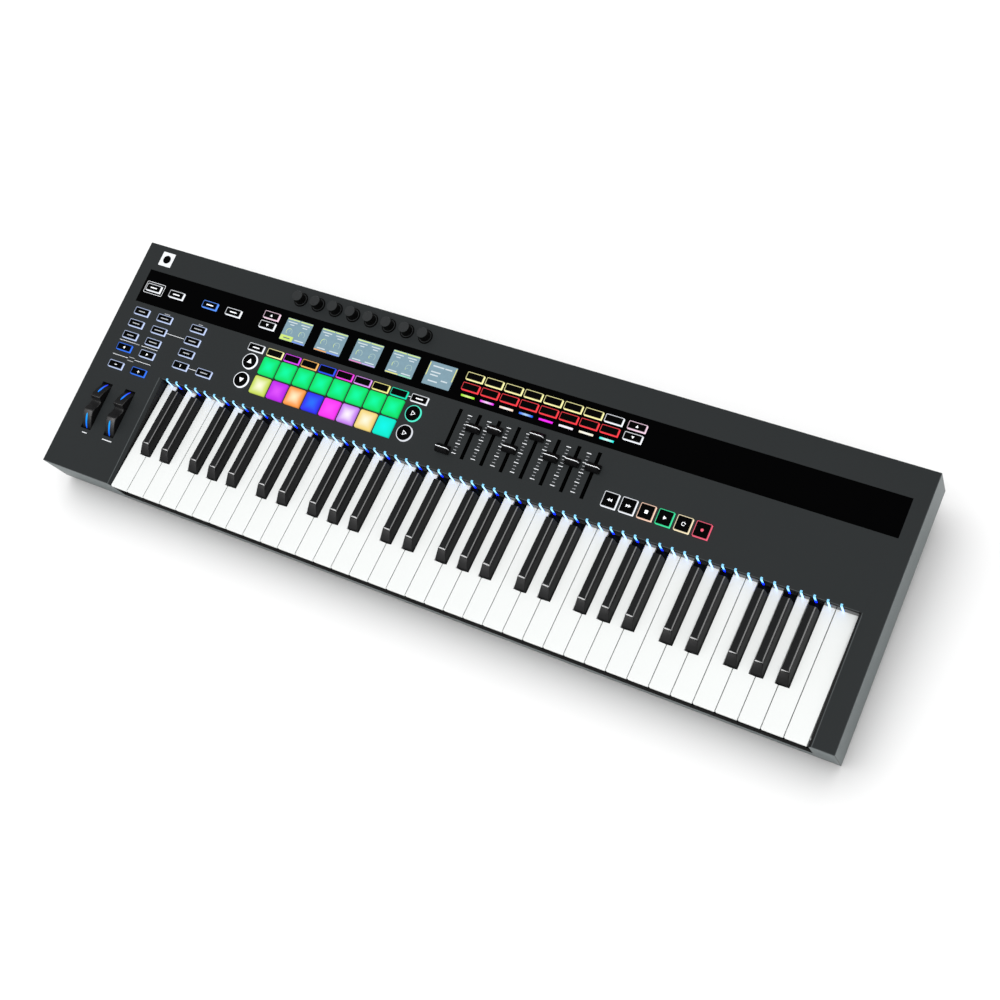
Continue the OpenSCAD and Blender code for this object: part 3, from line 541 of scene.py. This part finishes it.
def black(s, x0, k):
    """One black key: sloped nose, narrow top with eased edges, sides that splay to the foot."""
    c = x0 + black_x(k)

    def half(z):
        return BLACK_W / 2 if z < 1 else BLACK_W / 2 - (BLACK_W - BLACK_TOP) / 2 * (z - 1) / (BLACK_H - 1)

    profile = [(BLACK_Y0, -9, 0.7, 0.7), (BLACK_Y0, 0.6, 0.7, 0.7), (BLACK_Y0 + 0.3, 1.7, 0.45, 0.7)]
    for t in (0.04, 0.2, 0.4, 0.6, 0.8, 0.95):
        profile.append((BLACK_Y0 + 0.6 + t * 9.67, 1.97 + t * 8.76 + 0.3 * math.sin(math.pi * t), 0.2, 0.7))
    for t in range(7):
        a = math.radians(42 - 7 * t)
        profile.append((BLACK_Y0 + 12.28 - 3 * math.sin(a), BLACK_H - 3 * (1 - math.cos(a)), 0.15 - 0.025 * t,
                        0.7 + 0.15 * t))
    profile += [(BLACK_Y0 + 14.5, BLACK_H, 0, 2.2), (BLACK_Y1 - 1.0, BLACK_H, 0, 2.2),
                (BLACK_Y1 - 0.3, BLACK_H - 0.3, 0.15, 1.5), (BLACK_Y1, BLACK_H - 1.0, 0.4, 1.0),
                (BLACK_Y1, -9, 0.4, 0.9)]
    rings = []
    for y, z, inset, ease in profile:
        low = -9.5
        wt, wb = half(max(z, 0)) - inset, BLACK_W / 2 - inset
        pts = [(c - wb, y, low), (c - wb, y, min(0.8, z))]
        for q in range(7):
            a = math.radians(168 - 12.5 * q)
            pts.append((c - wt + ease * (1 + math.cos(a)), y, z - ease * (1 - math.sin(a))))
        for q in range(7):
            a = math.radians(87 - 12.5 * q)
            pts.append((c + wt - ease * (1 - math.cos(a)), y, z - ease * (1 - math.sin(a))))
        pts += [(c + wb, y, min(0.8, z)), (c + wb, y, low)]
        rings.append(pts)
    first, across, slope = len(s.f), len(rings[0]), 8
    s.loft(rings, GLOSS, first=GLOSS, last=GLOSS)
    for f in range(across * (len(rings) - 1)):
        if f % across in (0, 1, across - 3, across - 2, across - 1) or f // across < slope:
            s.m[first + f] = FLANK
    # the tail under the panel takes the darker tail colour: painted shade
    w = BLACK_W / 2 - 0.3
    s.loft([[(c - w, y, -9), (c - w, y, -0.4), (c - w + 0.3, y, -0.1), (c + w - 0.3, y, -0.1), (c + w, y, -0.4),
             (c + w, y, -9)] for y in (BLACK_Y1 - 1.5, BACK)], TAIL_SHADE, first=TAIL_SHADE, last=TAIL_SHADE)


for n, letter in enumerate("cdefgab"):
    s = Shape()
    for o in range(OCTAVES):
        white(s, 7 * PITCH * o, n)
    if letter == "c":
        white(s, (WHITES - 1) * PITCH, 0, True)
    piece("white_keys_" + letter, s, [white_key], "keys_" + letter, ["keys_" + letter], KEYS)
for k, letter in enumerate("cdfga"):
    s = Shape()
    for o in range(OCTAVES):
        black(s, 7 * PITCH * o, k)
    piece("black_keys_" + letter, s, [black_key, black_side, black_tail_painted_shade], f"keys_{letter}_sharp",
          [f"keys_{letter}_sharp"], KEYS, sharp=40)

# ---------------------------------------------------------------- key lights and fader lights
s = Shape()
semi = 7 * PITCH / 12
u_keys = (TO_SLAB @ (KEYS @ Vector((0, 0, 0)))).x
head, hot = lin(140, 216, 255), (0.7, 1.5, 2.2, 1)
over_white = [hot, (0.8, 1.5, 2.6, 1), (0.8, 1.6, 3.2, 1), (0.7, 1.5, 3.4, 1)]
over_black = [(0.5, 1.3, 2.2, 1), (0.3, 1.0, 2.4, 1), (0.05, 0.4, 3.0, 1), (0.004, 0.05, 4.5, 1)]
for i in range(ALL_KEYS):
    c = u_keys + semi * (i + 0.5)
    a, b, d, e = over_black if i % 12 in (1, 3, 6, 8, 10) else over_white
    path = [(2.35, 0.0, head, 0), (2.25, 0.14, head, 0), (1.3, 0.16, head, 0), (0.5, 0.16, head, 0.05),
            (0.1, 0.02, head, 0.1), (-0.25, -0.45, head, 0.15), (-0.42, -1.3, hot, 0.25), (-0.65, -3.4, a, 0.45),
            (-0.87, -6.0, b, 0.7), (-1.06, -8.0, d, 0.85), (-1.22, -9.6, e, 0.9), (-1.58, -13.4, e, 0.9)]
    rings, cols = [], []
    for dv, h, col, du in path:
        w = 1.2 if dv > 0.2 else 1.0
        x = c - 0.5 + du
        v = WALL_V + dv
        rings.append([(x - w, v + 0.9, h - 0.8), (x - w, v, h - 0.2), (x - w * 0.6, v, h), (x + w * 0.6, v, h),
                      (x + w, v, h - 0.2), (x + w, v + 0.9, h - 0.8)])
        cols.append(tuple(col))
    s.loft(rings, 0, cols, first=0, last=0)
piece("key_lights", s, [pipe_light], "body", ["light_guides"], sharp=60)

s = Shape()
BAR_V, BAR_HALF = 227.3, 8.1                       # a light bar for each fader, in the strip
BARS = [((160, 236, 30), (232, 255, 150)), ((250, 40, 255), (255, 225, 255)), ((255, 226, 200), (255, 255, 252)),
        ((0, 100, 255), (180, 220, 255)), ((255, 30, 250), (255, 50, 255)), ((250, 240, 255), (255, 252, 255)),
        ((255, 248, 222), (255, 255, 246)), ((0, 248, 236), (220, 255, 250))]
for i, (rgb, bright) in enumerate(BARS):
    col, mid_col = lin(*rgb), lin(*bright)
    cu = FADER_U + CTL_PITCH * i
    rings, cols = [], []
    for x in (-BAR_HALF, -6, -3, 0, 3, 6, BAR_HALF):
        rings.append([(cu + x, BAR_V + y, h) for y, h in (
            (-0.95, -2), (-0.95, LENS + 0.1), (-0.7, LENS + 0.25),
            (0.7, LENS + 0.25), (0.95, LENS + 0.1), (0.95, -2))])
        f = 1 - abs(x) / BAR_HALF
        cols.append(tuple(a + (b - a) * f for a, b in zip(col, mid_col)))
    s.loft(rings, 0, cols, first=0, last=0)
piece("fader_lights", s, [pad_light], "body", ["light_guides"], sharp=60)

# ---------------------------------------------------------------- buttons
BW, BD, UP = 21, 9, 1.6                            # a button's width, depth and height over the panel
TOPS = UP - 0.32                                   # its set-in face
MARK, GREY_MARK = 1, 2                             # materials of the signs on it


def button(s, cu, cv, rim, w=BW, d=BD, up=UP, face=0, r=1.0, line=0.85):
    """A cap with a lit edge round a dark face. rim is 2 for the palette's first colour, 3 for its second."""
    def outline(i):
        return rounded(cu, cv, w - 2 * i, d - 2 * i, r - i * 0.6, 3)
    wall, top = 2 * rim - 1, 2 * rim
    stack(s, outline, [(0, -5, wall), (0, up - 0.35, wall), (0.12, up - 0.1, wall), (0.3, up, top),
                       (line, up, top), (line + 0.08, up - 0.25, face), (line + 0.3, up - 0.32, face)], face)


def round_button(s, cu, cv, r, rim, up=UP, face=0, line=0.95):
    def outline(i):
        return circle(cu, cv, r - i, 48)
    wall = 2 * rim - 1
    stack(s, outline, [(0, -5, wall), (0, up - 0.4, wall), (0.15, up - 0.1, wall), (0.4, up, wall),
                       (line, up, wall), (line + 0.1, up - 0.25, face), (line + 0.4, up - 0.32, face)], face)


def palette(*names):
    """Materials of a group of caps: face, mark, grey mark, then each colour bright and dim."""
    return [inset_dark, white_line_painted_glow, label_mark_painted_glow] + [m for n in names for m in LIT[n]]


# left block
s = Shape()
for row in "abcde":
    for col in (0, 1):
        blue = (row, col) in (("d", 0), ("e", 1))
        button(s, COLS[col], ROWS[row], 3 if blue else 2)
for row in "abcd":
    button(s, COLS[2], ROWS[row], 2)
button(s, COLS[3], ROWS["d"], 2)
marks = [(COLS[0], "a", 9), (COLS[1], "a", 11), (COLS[0], "b", 10), (COLS[1], "b", 12), (COLS[0], "c", 9),
         (COLS[1], "c", 11), (COLS[2], "a", 11), (COLS[2], "b", 10), (COLS[2], "c", 9), (COLS[3], "d", 10)]
for cu, row, w in marks:
    bar(s, cu, ROWS[row], w, 1.1, TOPS, GREY_MARK)
plate(s, triangle(COLS[0], ROWS["d"], 1.9, "left"), TOPS, MARK)
plate(s, triangle(COLS[1], ROWS["d"], 1.9, "right"), TOPS, MARK)
bar(s, COLS[0], ROWS["e"], 3.2, 0.8, TOPS, MARK)
bar(s, COLS[1], ROWS["e"], 3.2, 0.8, TOPS, MARK)
bar(s, COLS[1], ROWS["e"], 0.8, 3.2, TOPS, MARK)
bar(s, COLS[2], ROWS["d"], 0.9, 3.0, TOPS, MARK)
piece("left_button_caps", s, palette("ice", "blue"), "left_buttons", ["left_buttons"])

# strip buttons
s = Shape()
for cu, rim in zip(COLS[:4], (2, 2, 3, 2)):
    button(s, cu, ROWS["s"], rim)
    bar(s, cu, ROWS["s"], 9.5, 1.3, TOPS, MARK)
button(s, COLS[4], ROWS["up"], 4)
button(s, COLS[4], ROWS["dn"], 2)
plate(s, triangle(COLS[4], ROWS["up"] - 0.3, 1.9, "up"), TOPS, MARK)
plate(s, triangle(COLS[4], ROWS["dn"] + 0.3, 1.9, "down"), TOPS, MARK)
piece("strip_button_caps", s, palette("white", "azure", "rose"), "strip_buttons", ["strip_buttons"])

# soft buttons
s = Shape()
order = ["yellow", "magenta", "orange", "deep_blue", "pink", "lilac", "cream", "teal", "white"]
for i in range(8):
    button(s, CTL_U + CTL_PITCH * i, ROWS["a"], 2 + i)
for cu in (COLS[4], COLS[5]):
    button(s, cu, ROWS["a"], 10)
    bar(s, cu, ROWS["a"], 9, 1.3, TOPS, MARK)
piece("soft_button_caps", s, palette(*order), "soft_buttons", ["soft_buttons"])

# arrow buttons
s = Shape()
for cu, cv, rim in ((COLS[4], PAD_V[0], 2), (COLS[4], PAD_V[1], 2), (COLS[5], PAD_V[0], 3), (COLS[5], PAD_V[1], 4)):
    round_button(s, cu, cv, 9.6, rim)
plate(s, triangle(COLS[4], PAD_V[0] - 0.4, 3.6, "up"), TOPS, MARK)
plate(s, triangle(COLS[4], PAD_V[1] + 0.4, 3.6, "down"), TOPS, MARK)
for cv in PAD_V:
    out, inn = triangle(COLS[5] - 0.2, cv, 3.4, "right"), triangle(COLS[5] - 0.2, cv, 2.2, "right")
    s.loft([lift(out, TOPS), lift(out, TOPS + 0.05), lift(inn, TOPS + 0.05), lift(inn, TOPS)], 1)
piece("arrow_button_caps", s, palette("white", "aqua", "silver"), "arrow_buttons", ["arrow_buttons"])

# fader buttons
s = Shape()
for i in range(8):
    button(s, FADER_U + CTL_PITCH * i, ROWS["up"], 2 if i < 7 else 4)
    button(s, FADER_U + CTL_PITCH * i, ROWS["dn"], 3)
button(s, COLS[6], ROWS["up"], 5)
button(s, COLS[6], ROWS["dn"], 4)
plate(s, triangle(COLS[6], ROWS["up"] - 0.3, 1.9, "up"), TOPS, MARK)
plate(s, triangle(COLS[6], ROWS["dn"] + 0.3, 1.9, "down"), TOPS, MARK)
piece("fader_button_caps", s, palette("yellow", "red", "white", "rose"), "fader_buttons", ["fader_buttons"])

# transport buttons
s = Shape()
for i, rim in enumerate((2, 2, 3, 4, 5, 6)):
    cu, cv = TRANS_U + TRANS_PITCH * i, TRANS_V
    button(s, cu, cv, rim, 17, 17, line=0.9, r=1.3)
    if i == 0:
        for x in (-1.3, 1.5):
            plate(s, triangle(cu + x, cv, 1.9, "left"), TOPS, MARK)
    elif i == 1:
        for x in (-1.5, 1.3):
            plate(s, triangle(cu + x, cv, 1.9, "right"), TOPS, MARK)
    elif i == 2:
        bar(s, cu, cv, 3.6, 3.6, TOPS, MARK)
    elif i == 3:
        plate(s, triangle(cu - 0.3, cv, 2.3, "right"), TOPS, MARK)
    elif i == 4:
        arc(s, cu, cv, 1.5, 2.1, 30, 330, TOPS, MARK)
        plate(s, triangle(cu + 1.9, cv + 0.8, 0.9, "up"), TOPS, MARK)
    else:
        plate(s, circle(cu, cv, 1.6, 20), TOPS, 2 * rim - 1)
piece("transport_button_caps", s, palette("white", "peach", "mint", "vanilla", "coral"), "transport_buttons",
      ["transport_buttons"])

# ---------------------------------------------------------------- pads
UPPER = [((0, 230, 108), (0, 255, 166))] * 8
LOWER = [((206, 226, 96), (255, 255, 220)), ((196, 44, 240), (226, 80, 255)), ((255, 158, 74), (255, 240, 196)),
         ((50, 50, 246), (40, 112, 255)), ((250, 56, 246), (255, 80, 255)), ((204, 136, 248), (255, 244, 255)),
         ((248, 218, 128), (255, 252, 222)), ((0, 238, 210), (0, 250, 236))]
PW, PAD_UP = 21.8, 1.6


def pad(s, cu, cv, edge, centre):
    """One silicone pad, lit from edge colour to centre colour."""
    e, c = lin(*edge), lin(*centre)

    def mix(f, k=1.0):
        return tuple(k * (a + (b - a) * f) for a, b in zip(e[:3], c[:3])) + (1,)
    rings, cols = [], []
    for inset, h, f, k in ((0, -4.5 - PAD_UP, 0, 0.35), (0, -0.8, 0, 0.7), (0.2, -0.3, 0, 0.85), (0.7, 0, 0, 0.95),
                           (1.6, 0.02, 0.05, 1), (3.2, 0.03, 0.2, 1), (5.2, 0.04, 0.5, 1),
                           (7.6, 0.05, 0.82, 1), (9.8, 0.05, 1, 1)):
        side = PW - 2 * inset
        corner = max(1.9 - inset * 0.3, 1.9 * inset / 4 if inset > 3 else 0.6)
        rings.append(lift(rounded(cu, cv, side, side, corner, 5), PAD_UP + h))
        cols.append(mix(f, k))
    s.loft(rings, 0, cols, last=0)


for name, cv, colours in (("upper", PAD_V[0], UPPER), ("lower", PAD_V[1], LOWER)):
    s = Shape()
    for i, (edge, centre) in enumerate(colours):
        pad(s, CTL_U + CTL_PITCH * i, cv, edge, centre)
    piece("pads_" + name + "_silicone", s, [pad_light], "pads_" + name, ["pads_" + name], sharp=50)

# ---------------------------------------------------------------- knobs
for i in range(8):
    cu = CTL_U + CTL_PITCH * i
    s = Shape()
    n = 96

    def ring(r, h, rib=0.0):
        return [(cu + (r - (rib if k % 3 == 1 else 0)) * math.cos(2 * math.pi * k / n),
                 KNOB_V + (r - (rib if k % 3 == 1 else 0)) * math.sin(2 * math.pi * k / n), h) for k in range(n)]
    s.loft([ring(7.9, -0.5), ring(7.9, 0.85), ring(7.75, 1.05), ring(7.3, 1.15), ring(6.55, 1.15)], [0, 0, 0, 1])
    s.loft([ring(6.5, 1.0), ring(6.5, 1.5, 0.3), ring(6.3, 10.4, 0.3), ring(6.25, 10.9), ring(6.15, 11.3)], 0)
    s.loft([ring(6.15, 11.3), ring(5.9, 11.75), ring(5.4, 11.98), ring(5.0, 11.98), ring(4.8, 11.86),
            ring(2.4, 11.8), ring(0.3, 11.78)], 1, last=1)
    piece(f"knob_{i + 1}_cap", s, [rubber, knob_cap], f"knob_{i + 1}", [f"knob_{i + 1}"], sharp=30)

# ---------------------------------------------------------------- faders
for i in range(8):
    cu = FADER_U + CTL_PITCH * i
    vs = [(TO_SLAB @ v.co).y for v in NODES[f"fader_{i + 1}"].data.vertices]
    cap_v = (min(vs) + max(vs)) / 2
    s = Shape()

    def section(x, w, z):
        """Across the cap at x: foot, flank and ridge."""
        y = [(-w, 2.0), (-w, 3.0), (-w + 0.25, 3.5), (-1.7, z - 1.0), (-1.0, z - 0.25), (-0.55, z), (0.55, z),
             (1.0, z - 0.25), (1.7, z - 1.0), (w - 0.25, 3.5), (w, 3.0), (w, 2.0)]
        return [(cu + x, cap_v + a, b) for a, b in y]
    xs = [(-8.5, 4.3, 4.0), (-8.35, 4.7, 4.6), (-7.2, 4.95, 8.7), (-6.7, 5, 9.3), (-6.2, 5, 9.4), (6.2, 5, 9.4),
          (6.7, 5, 9.3), (7.2, 4.95, 8.7), (8.35, 4.7, 4.6), (8.5, 4.3, 4.0)]
    s.loft([section(*x) for x in xs], 0, first=0, last=0)
    lines = [(-8.35, 4.7), (-7.2, 8.72), (-6.7, 9.33), (-6.2, 9.43), (6.2, 9.43), (6.7, 9.33), (7.2, 8.72),
             (8.3, 4.75)]
    s.loft([[(cu + x, cap_v - 0.3, z - 0.05), (cu + x, cap_v - 0.3, z + 0.03), (cu + x, cap_v + 0.3, z + 0.03),
             (cu + x, cap_v + 0.3, z - 0.05)] for x, z in lines], 1, first=1, last=1)
    s.loft([[(cu + x, cap_v + y, h) for x, y in ((-0.8, -2.5), (0.8, -2.5), (0.8, 2.5), (-0.8, 2.5))]
            for h in (-9, 2.4)], 0, first=0, last=0)
    piece(f"fader_{i + 1}_cap", s, [fader_mat, white_line_painted_glow], f"fader_{i + 1}", [f"fader_{i + 1}"],
          sharp=28)

# ---------------------------------------------------------------- wheels
for name, cu in (("pitch_wheel", 35.3), ("modulation_wheel", 69.7)):
    hub = TO_SLAB @ Vector(JOINTS[name + "_turn"]["pos_m"])
    R, half = 36.0, 6.8
    s = Shape()
    profile = []
    # depth of the finger notch at each angle from the top, in degrees
    notch = [(-40, 0), (-26, 0), (-13.6, 0), (-12.9, 0.15), (-12.3, 0.6), (-11.8, 1.5), (-11.0, 4.4), (-10.2, 6.0),
             (-9.0, 6.7), (-6, 6.9), (-2, 6.5), (2, 5.7), (6, 4.3), (9.5, 2.6), (12, 1.2), (14, 0.35), (16, 0.02),
             (18, 0), (26, 0), (40, 0)]
    depth = dict(notch)
    for q in [-92 + 4 * k for k in range(13)] + list(depth) + [44 + 4 * k for k in range(13)]:
        r = R - depth.get(q, 0)
        profile.append((-r * math.sin(math.radians(q)), r * math.cos(math.radians(q))))
    steps = [(-half, 1.3), (-half + 0.15, 0.6), (-half + 0.6, 0.15), (-half + 1.3, 0), (half - 1.3, 0),
             (half - 0.6, 0.15), (half - 0.15, 0.6), (half, 1.3)]
    rings = []
    for x, cut in steps:
        rings.append([(cu + x, hub.y + y * (1 - cut / R), hub.z + z * (1 - cut / R)) for y, z in profile])
    s.loft(rings, 0, closed=False)
    for x, side in ((-half, -1), (half, 1)):
        a = s.ring([(cu + x, hub.y + y * (1 - 1.3 / R), hub.z + z * (1 - 1.3 / R)) for y, z in profile])
        b = s.ring([(cu + x - side * 0.5, hub.y + y * 0.86, hub.z + z * 0.86) for y, z in profile])
        c = s.ring([(cu + x - side * 0.5, hub.y + y * 0.2, hub.z + z * 0.2) for y, z in profile])
        for p, q in ((a, b), (b, c)):
            if side > 0:
                s.band(p, q, 0, False)
            else:
                s.band(q, p, 0, False)
    piece(name + "_rim", s, [wheel_mat], name, [name], sharp=38)
    s = Shape()
    up_a, up_b = lin(0, 140, 255), lin(56, 50, 250)
    dn_a, dn_b = lin(0, 176, 255), lin(0, 90, 255)
    for a0, a1, c0, c1 in ((112, 143, dn_a, dn_b), (66.5, 38, up_a, up_b)):
        rings, cols = [], []
        for k in range(15):
            t = k / 14
            a = math.radians(a0 + (a1 - a0) * t)
            w = 1.05 * min(1, 0.35 + 4 * min(t, 1 - t))
            p = [(cu - 0.2 - w, R - 0.3), (cu - 0.2 - w, R + 0.1), (cu - 0.2 + w, R + 0.1), (cu - 0.2 + w, R - 0.3)]
            if a1 < a0:
                p.reverse()
            rings.append([(x, hub.y + r * math.cos(a), hub.z + r * math.sin(a)) for x, r in p])
            cols.append(tuple(x + (y - x) * t for x, y in zip(c0, c1)))
        s.loft(rings, 0, cols, first=0, last=0)
    piece(name + "_strips", s, [wheel_light], name, (), sharp=60)

# ---------------------------------------------------------------- displays
screen_bg = lit("screen_slate", (128, 158, 172), 0.93, base=0.1, rough=0.2)
screen_pale = lit("screen_pale", (210, 222, 228), 1.0)
screen_dim = lit("screen_dim", (170, 196, 190), 1.0)
screen_lime = lit("screen_lime", (214, 236, 150), 1.0)
screen_dark = lit("screen_dark", (84, 112, 128), 1.0)
foot_mats = [lit("foot_" + k, v) for k, v in (
    ("lime", (206, 232, 120)), ("blue", (120, 150, 246)), ("orange", (255, 176, 90)), ("pink", (240, 130, 200)),
    ("lilac", (206, 180, 250)), ("yellow", (240, 236, 130)), ("green", (150, 230, 190)))]
s = Shape()
mats = [screen_bg, screen_pale, screen_dim, screen_lime, screen_dark] + foot_mats
FOOT = [(5, 6), (7, 6), (8, 9), (10, 11)]          # materials of the two bars at the foot of each display
for k in range(5):
    cu, cv = 241.6 + 2 * CTL_PITCH * k, 240.5
    w, d, h = 35.0, 27.6, LENS
    stack(s, lambda i: rounded(cu, cv, w - 2 * i, d - 2 * i, 0.7 - i * 0.3, 3),
          [(0, h, 0), (0.05, h + 0.06, 0)], 0)
    z = h + 0.06
    left, right, top, low = cu - w / 2, cu + w / 2, cv + d / 2, cv - d / 2
    if k < 4:
        for half, fm in ((0, FOOT[k][0]), (1, FOOT[k][1])):
            hx = left + w * (0.25 + 0.5 * half)
            bar(s, hx, top - 1.1, w / 2 - 1.2, 1.3, z, 3, 0.03)
            bar(s, hx - 0.4, top - 4.6, 12.5 - half, 1.2, z, 1, 0.03)
            bar(s, hx + 0.2, top - 7.6, 5.5 + half, 1.1, z, 1, 0.03)
            arc(s, hx, cv - 2.4, 3.5, 4.1, -40, 220, z, 2, 0.03, 24)
            a = 70 + 55 * half + 25 * k
            arc(s, hx, cv - 2.4, 3.5, 4.1, a, 220, z, 3, 0.04, 16)
            bar(s, hx + 1.6 * math.cos(math.radians(a)), cv - 2.4 + 1.6 * math.sin(math.radians(a)), 2.6, 0.5, z, 2,
                0.03, math.radians(a))
            if k == 0 and half == 0:
                bar(s, hx + 0.1, low + 3.2, w / 2 - 0.4, 6.0, z, fm, 0.03)
                bar(s, hx + 0.3, low + 3.2, 9, 1.2, z + 0.02, 4, 0.03)
            else:
                bar(s, hx, low + 3.4, 11 + half, 1.3, z, 1, 0.03)
                bar(s, hx, low + 0.9, w / 2 - 1.2, 1.2, z, fm, 0.03)
    else:
        for side in (-1, 1):
            bar(s, cu + side * 16.6, cv + 4.6, 0.9, 16, z, 10, 0.03)
        for x, y, q in ((-6.5, 9, 14), (-7.5, 2.2, 12), (-8.5, -1.4, 10), (9.5, 9, 9), (10, -5.5, 8),
                        (-7, -8.6, 12)):
            bar(s, cu + x * 0.8, cv + y, q, 1.5, z, 1, 0.03)
piece("display_pictures", s, mats, "body", (), sharp=20)

# ---------------------------------------------------------------- prints on the panel
s = Shape()
for i in range(7):
    cu = FADER_U + CTL_PITCH * (i + 0.5)
    for k in range(13):
        y = 162.3 + 44.9 * k / 12
        w, d, mat = (5.3, 0.85, 0) if k % 3 == 0 else (3.4, 0.7, 1)
        bar(s, cu + 0.7, y, w, d, 0, mat, 0.04)
bar(s, 92.5, 191.6, 27, 0.6, 0, 0, 0.04)
bar(s, 135.6, 159.6, 12.4, 0.6, 0, 0, 0.04)
for y in (168.0, 148.8):
    bar(s, 33.5, y, 23, 0.6, 0, 0, 0.04)
    bar(s, 67, y, 24, 0.6, 0, 0, 0.04)
bar(s, 411.3, ROWS["a"], 3.6, 0.7, 0, 0, 0.04)
for x, w in ((36.5, 7.0), (70.5, 14.0)):
    bar(s, x, 47.2, w, 1.1, 0, 0, 0.04)
for x, y, w in ((COLS[1], 213.9, 8), (COLS[2], 213.9, 6), (48.5, 168.0, 6.5), (50, 150.6, 8), (50, 146.2, 9)):
    bar(s, x, y, w, 0.9, 0, 1, 0.04)
# plain badge in the rear left corner
BADGE = (32, 279)
plate(s, rounded(*BADGE, 18, 18, 0.6, 3), 0, 0, 0.05)
plate(s, circle(*BADGE, 5.2, 40), 0.05, 2, 0.04)
piece("panel_prints", s, [print_grey_painted_glow, print_dim_painted_glow, inset_dark], "body", (), sharp=20)

s = Shape()
frame_line(s, COLS[0], ROWS["s"], 27.5, 15, 1.5, 0.55, LENS, 0)
piece("strip_print", s, [print_grey_painted_glow], "body", (), sharp=20)

# ---------------------------------------------------------------- stage, light, camera
mid_box = [(a + b) / 2 for a, b in zip(*[list(c) for c in CAD_BOX])]
fm, nodes, links, sh = new_material("floor_pale")
sh.inputs["Base Color"].default_value = (0.75, 0.75, 0.75, 1)
sh.inputs["Roughness"].default_value = 0.9
sh.inputs["Specular IOR Level"].default_value = 0.1
FLOOR_R, FLOOR_N = 20, 48
me = bpy.data.meshes.new("floor")
me.from_pydata(lift(circle(0, 0, FLOOR_R, FLOOR_N), 0), [], [tuple(range(FLOOR_N))])
me.materials.append(fm)
floor = bpy.data.objects.new("floor", me)
bpy.context.scene.collection.objects.link(floor)

world = bpy.data.worlds.new("studio")
bpy.context.scene.world = world
world.use_nodes = True
wn, wl = world.node_tree.nodes, world.node_tree.links
bg = wn["Background"]
tc = wn.new("ShaderNodeTexCoord")
sep = wn.new("ShaderNodeSeparateXYZ")
wl.new(tc.outputs["Generated"], sep.inputs["Vector"])
fall = wn.new("ShaderNodeMapRange")
fall.interpolation_type = "SMOOTHSTEP"
for key, value in (("From Min", 0.55), ("From Max", 0.85), ("To Min", 0.76), ("To Max", 0.66)):
    fall.inputs[key].default_value = value
wl.new(sep.outputs["Z"], fall.inputs["Value"])
path = wn.new("ShaderNodeLightPath")
pick = wn.new("ShaderNodeMix")
pick.inputs["B"].default_value = 1.0
wl.new(path.outputs["Is Camera Ray"], pick.inputs["Factor"])
wl.new(fall.outputs["Result"], pick.inputs["A"])
mirror = wn.new("ShaderNodeMix")
mirror.inputs["B"].default_value = 0.4
wl.new(path.outputs["Is Glossy Ray"], mirror.inputs["Factor"])
wl.new(pick.outputs["Result"], mirror.inputs["A"])
wl.new(mirror.outputs["Result"], bg.inputs["Strength"])
bg.inputs["Color"].default_value = (1, 1, 1, 1)

# one soft sun draws the shadow on the floor, a second one lights the instrument from over the front
shown = bpy.data.collections.new("instrument")
for ob in bpy.context.scene.objects:
    if ob.type == "MESH" and ob is not floor:
        shown.objects.link(ob)
ground = bpy.data.collections.new("ground")
ground.objects.link(floor)
for name, way, power, angle, group in (("floor_sun", (-0.19, 0.19, 0.96), 2.6, 76, ground),
                                       ("front_sun", (0.14, -0.30, 0.94), 2.95, 42, shown)):
    sun = bpy.data.lights.new(name, "SUN")
    sun.energy = power
    sun.angle = math.radians(angle)
    so = bpy.data.objects.new(name, sun)
    so.rotation_euler = Vector(way).to_track_quat("Z", "Y").to_euler()
    so.visible_glossy = False
    so.light_linking.receiver_collection = group
    bpy.context.scene.collection.objects.link(so)

# two softboxes that only show as highlights on the black keys, wheels and fader caps
BOX_AWAY = 2.4
shiny = bpy.data.collections.new("shiny")
for ob in list(shown.objects):
    fader_cap = ob.name.startswith("fader_") and ob.name.endswith("_cap")
    if fader_cap or ob.name.startswith("black_keys") or ob.name.endswith("wheel_rim"):
        shiny.objects.link(ob)
for name, way, watts, size in (("right_box", (0.70, 0.22, 0.64), 150.0, (2.6, 2.6)),
                               ("front_box", (-0.36, -0.46, 0.81), 240.0, (2.0, 1.6))):
    box = bpy.data.lights.new(name, "AREA")
    box.shape = "RECTANGLE"
    box.size, box.size_y = size
    box.energy = watts
    bo = bpy.data.objects.new(name, box)
    bo.location = Vector((mid_box[0], mid_box[1], 0)) + BOX_AWAY * Vector(way)
    bo.rotation_euler = Vector(way).to_track_quat("Z", "Y").to_euler()
    bo.visible_diffuse = False
    bo.light_linking.receiver_collection = shiny
    bpy.context.scene.collection.objects.link(bo)

cam = bpy.data.cameras.new("camera")
cam.lens = 58.35
cam.sensor_width = 36
cam.clip_end = 60
co = bpy.data.objects.new("camera", cam)
origin = Vector((mid_box[0], mid_box[1], 0))
forward = Vector((-0.40353, 0.27990, -0.87110)).normalized()
roll = math.radians(-32.849)
side = forward.cross(Vector((0, 0, 1))).normalized()
up = side.cross(forward)
right = side * math.cos(roll) + up * math.sin(roll)
upward = up * math.cos(roll) - side * math.sin(roll)
rot = Matrix((right, upward, -forward)).transposed()
co.matrix_world = Matrix.Translation(origin + Vector((0.75923, -0.49740, 1.55643))) @ rot.to_4x4()
bpy.context.scene.collection.objects.link(co)
bpy.context.scene.camera = co
bpy.context.scene.view_settings.view_transform = "Standard"
bpy.context.scene.view_settings.look = "None"
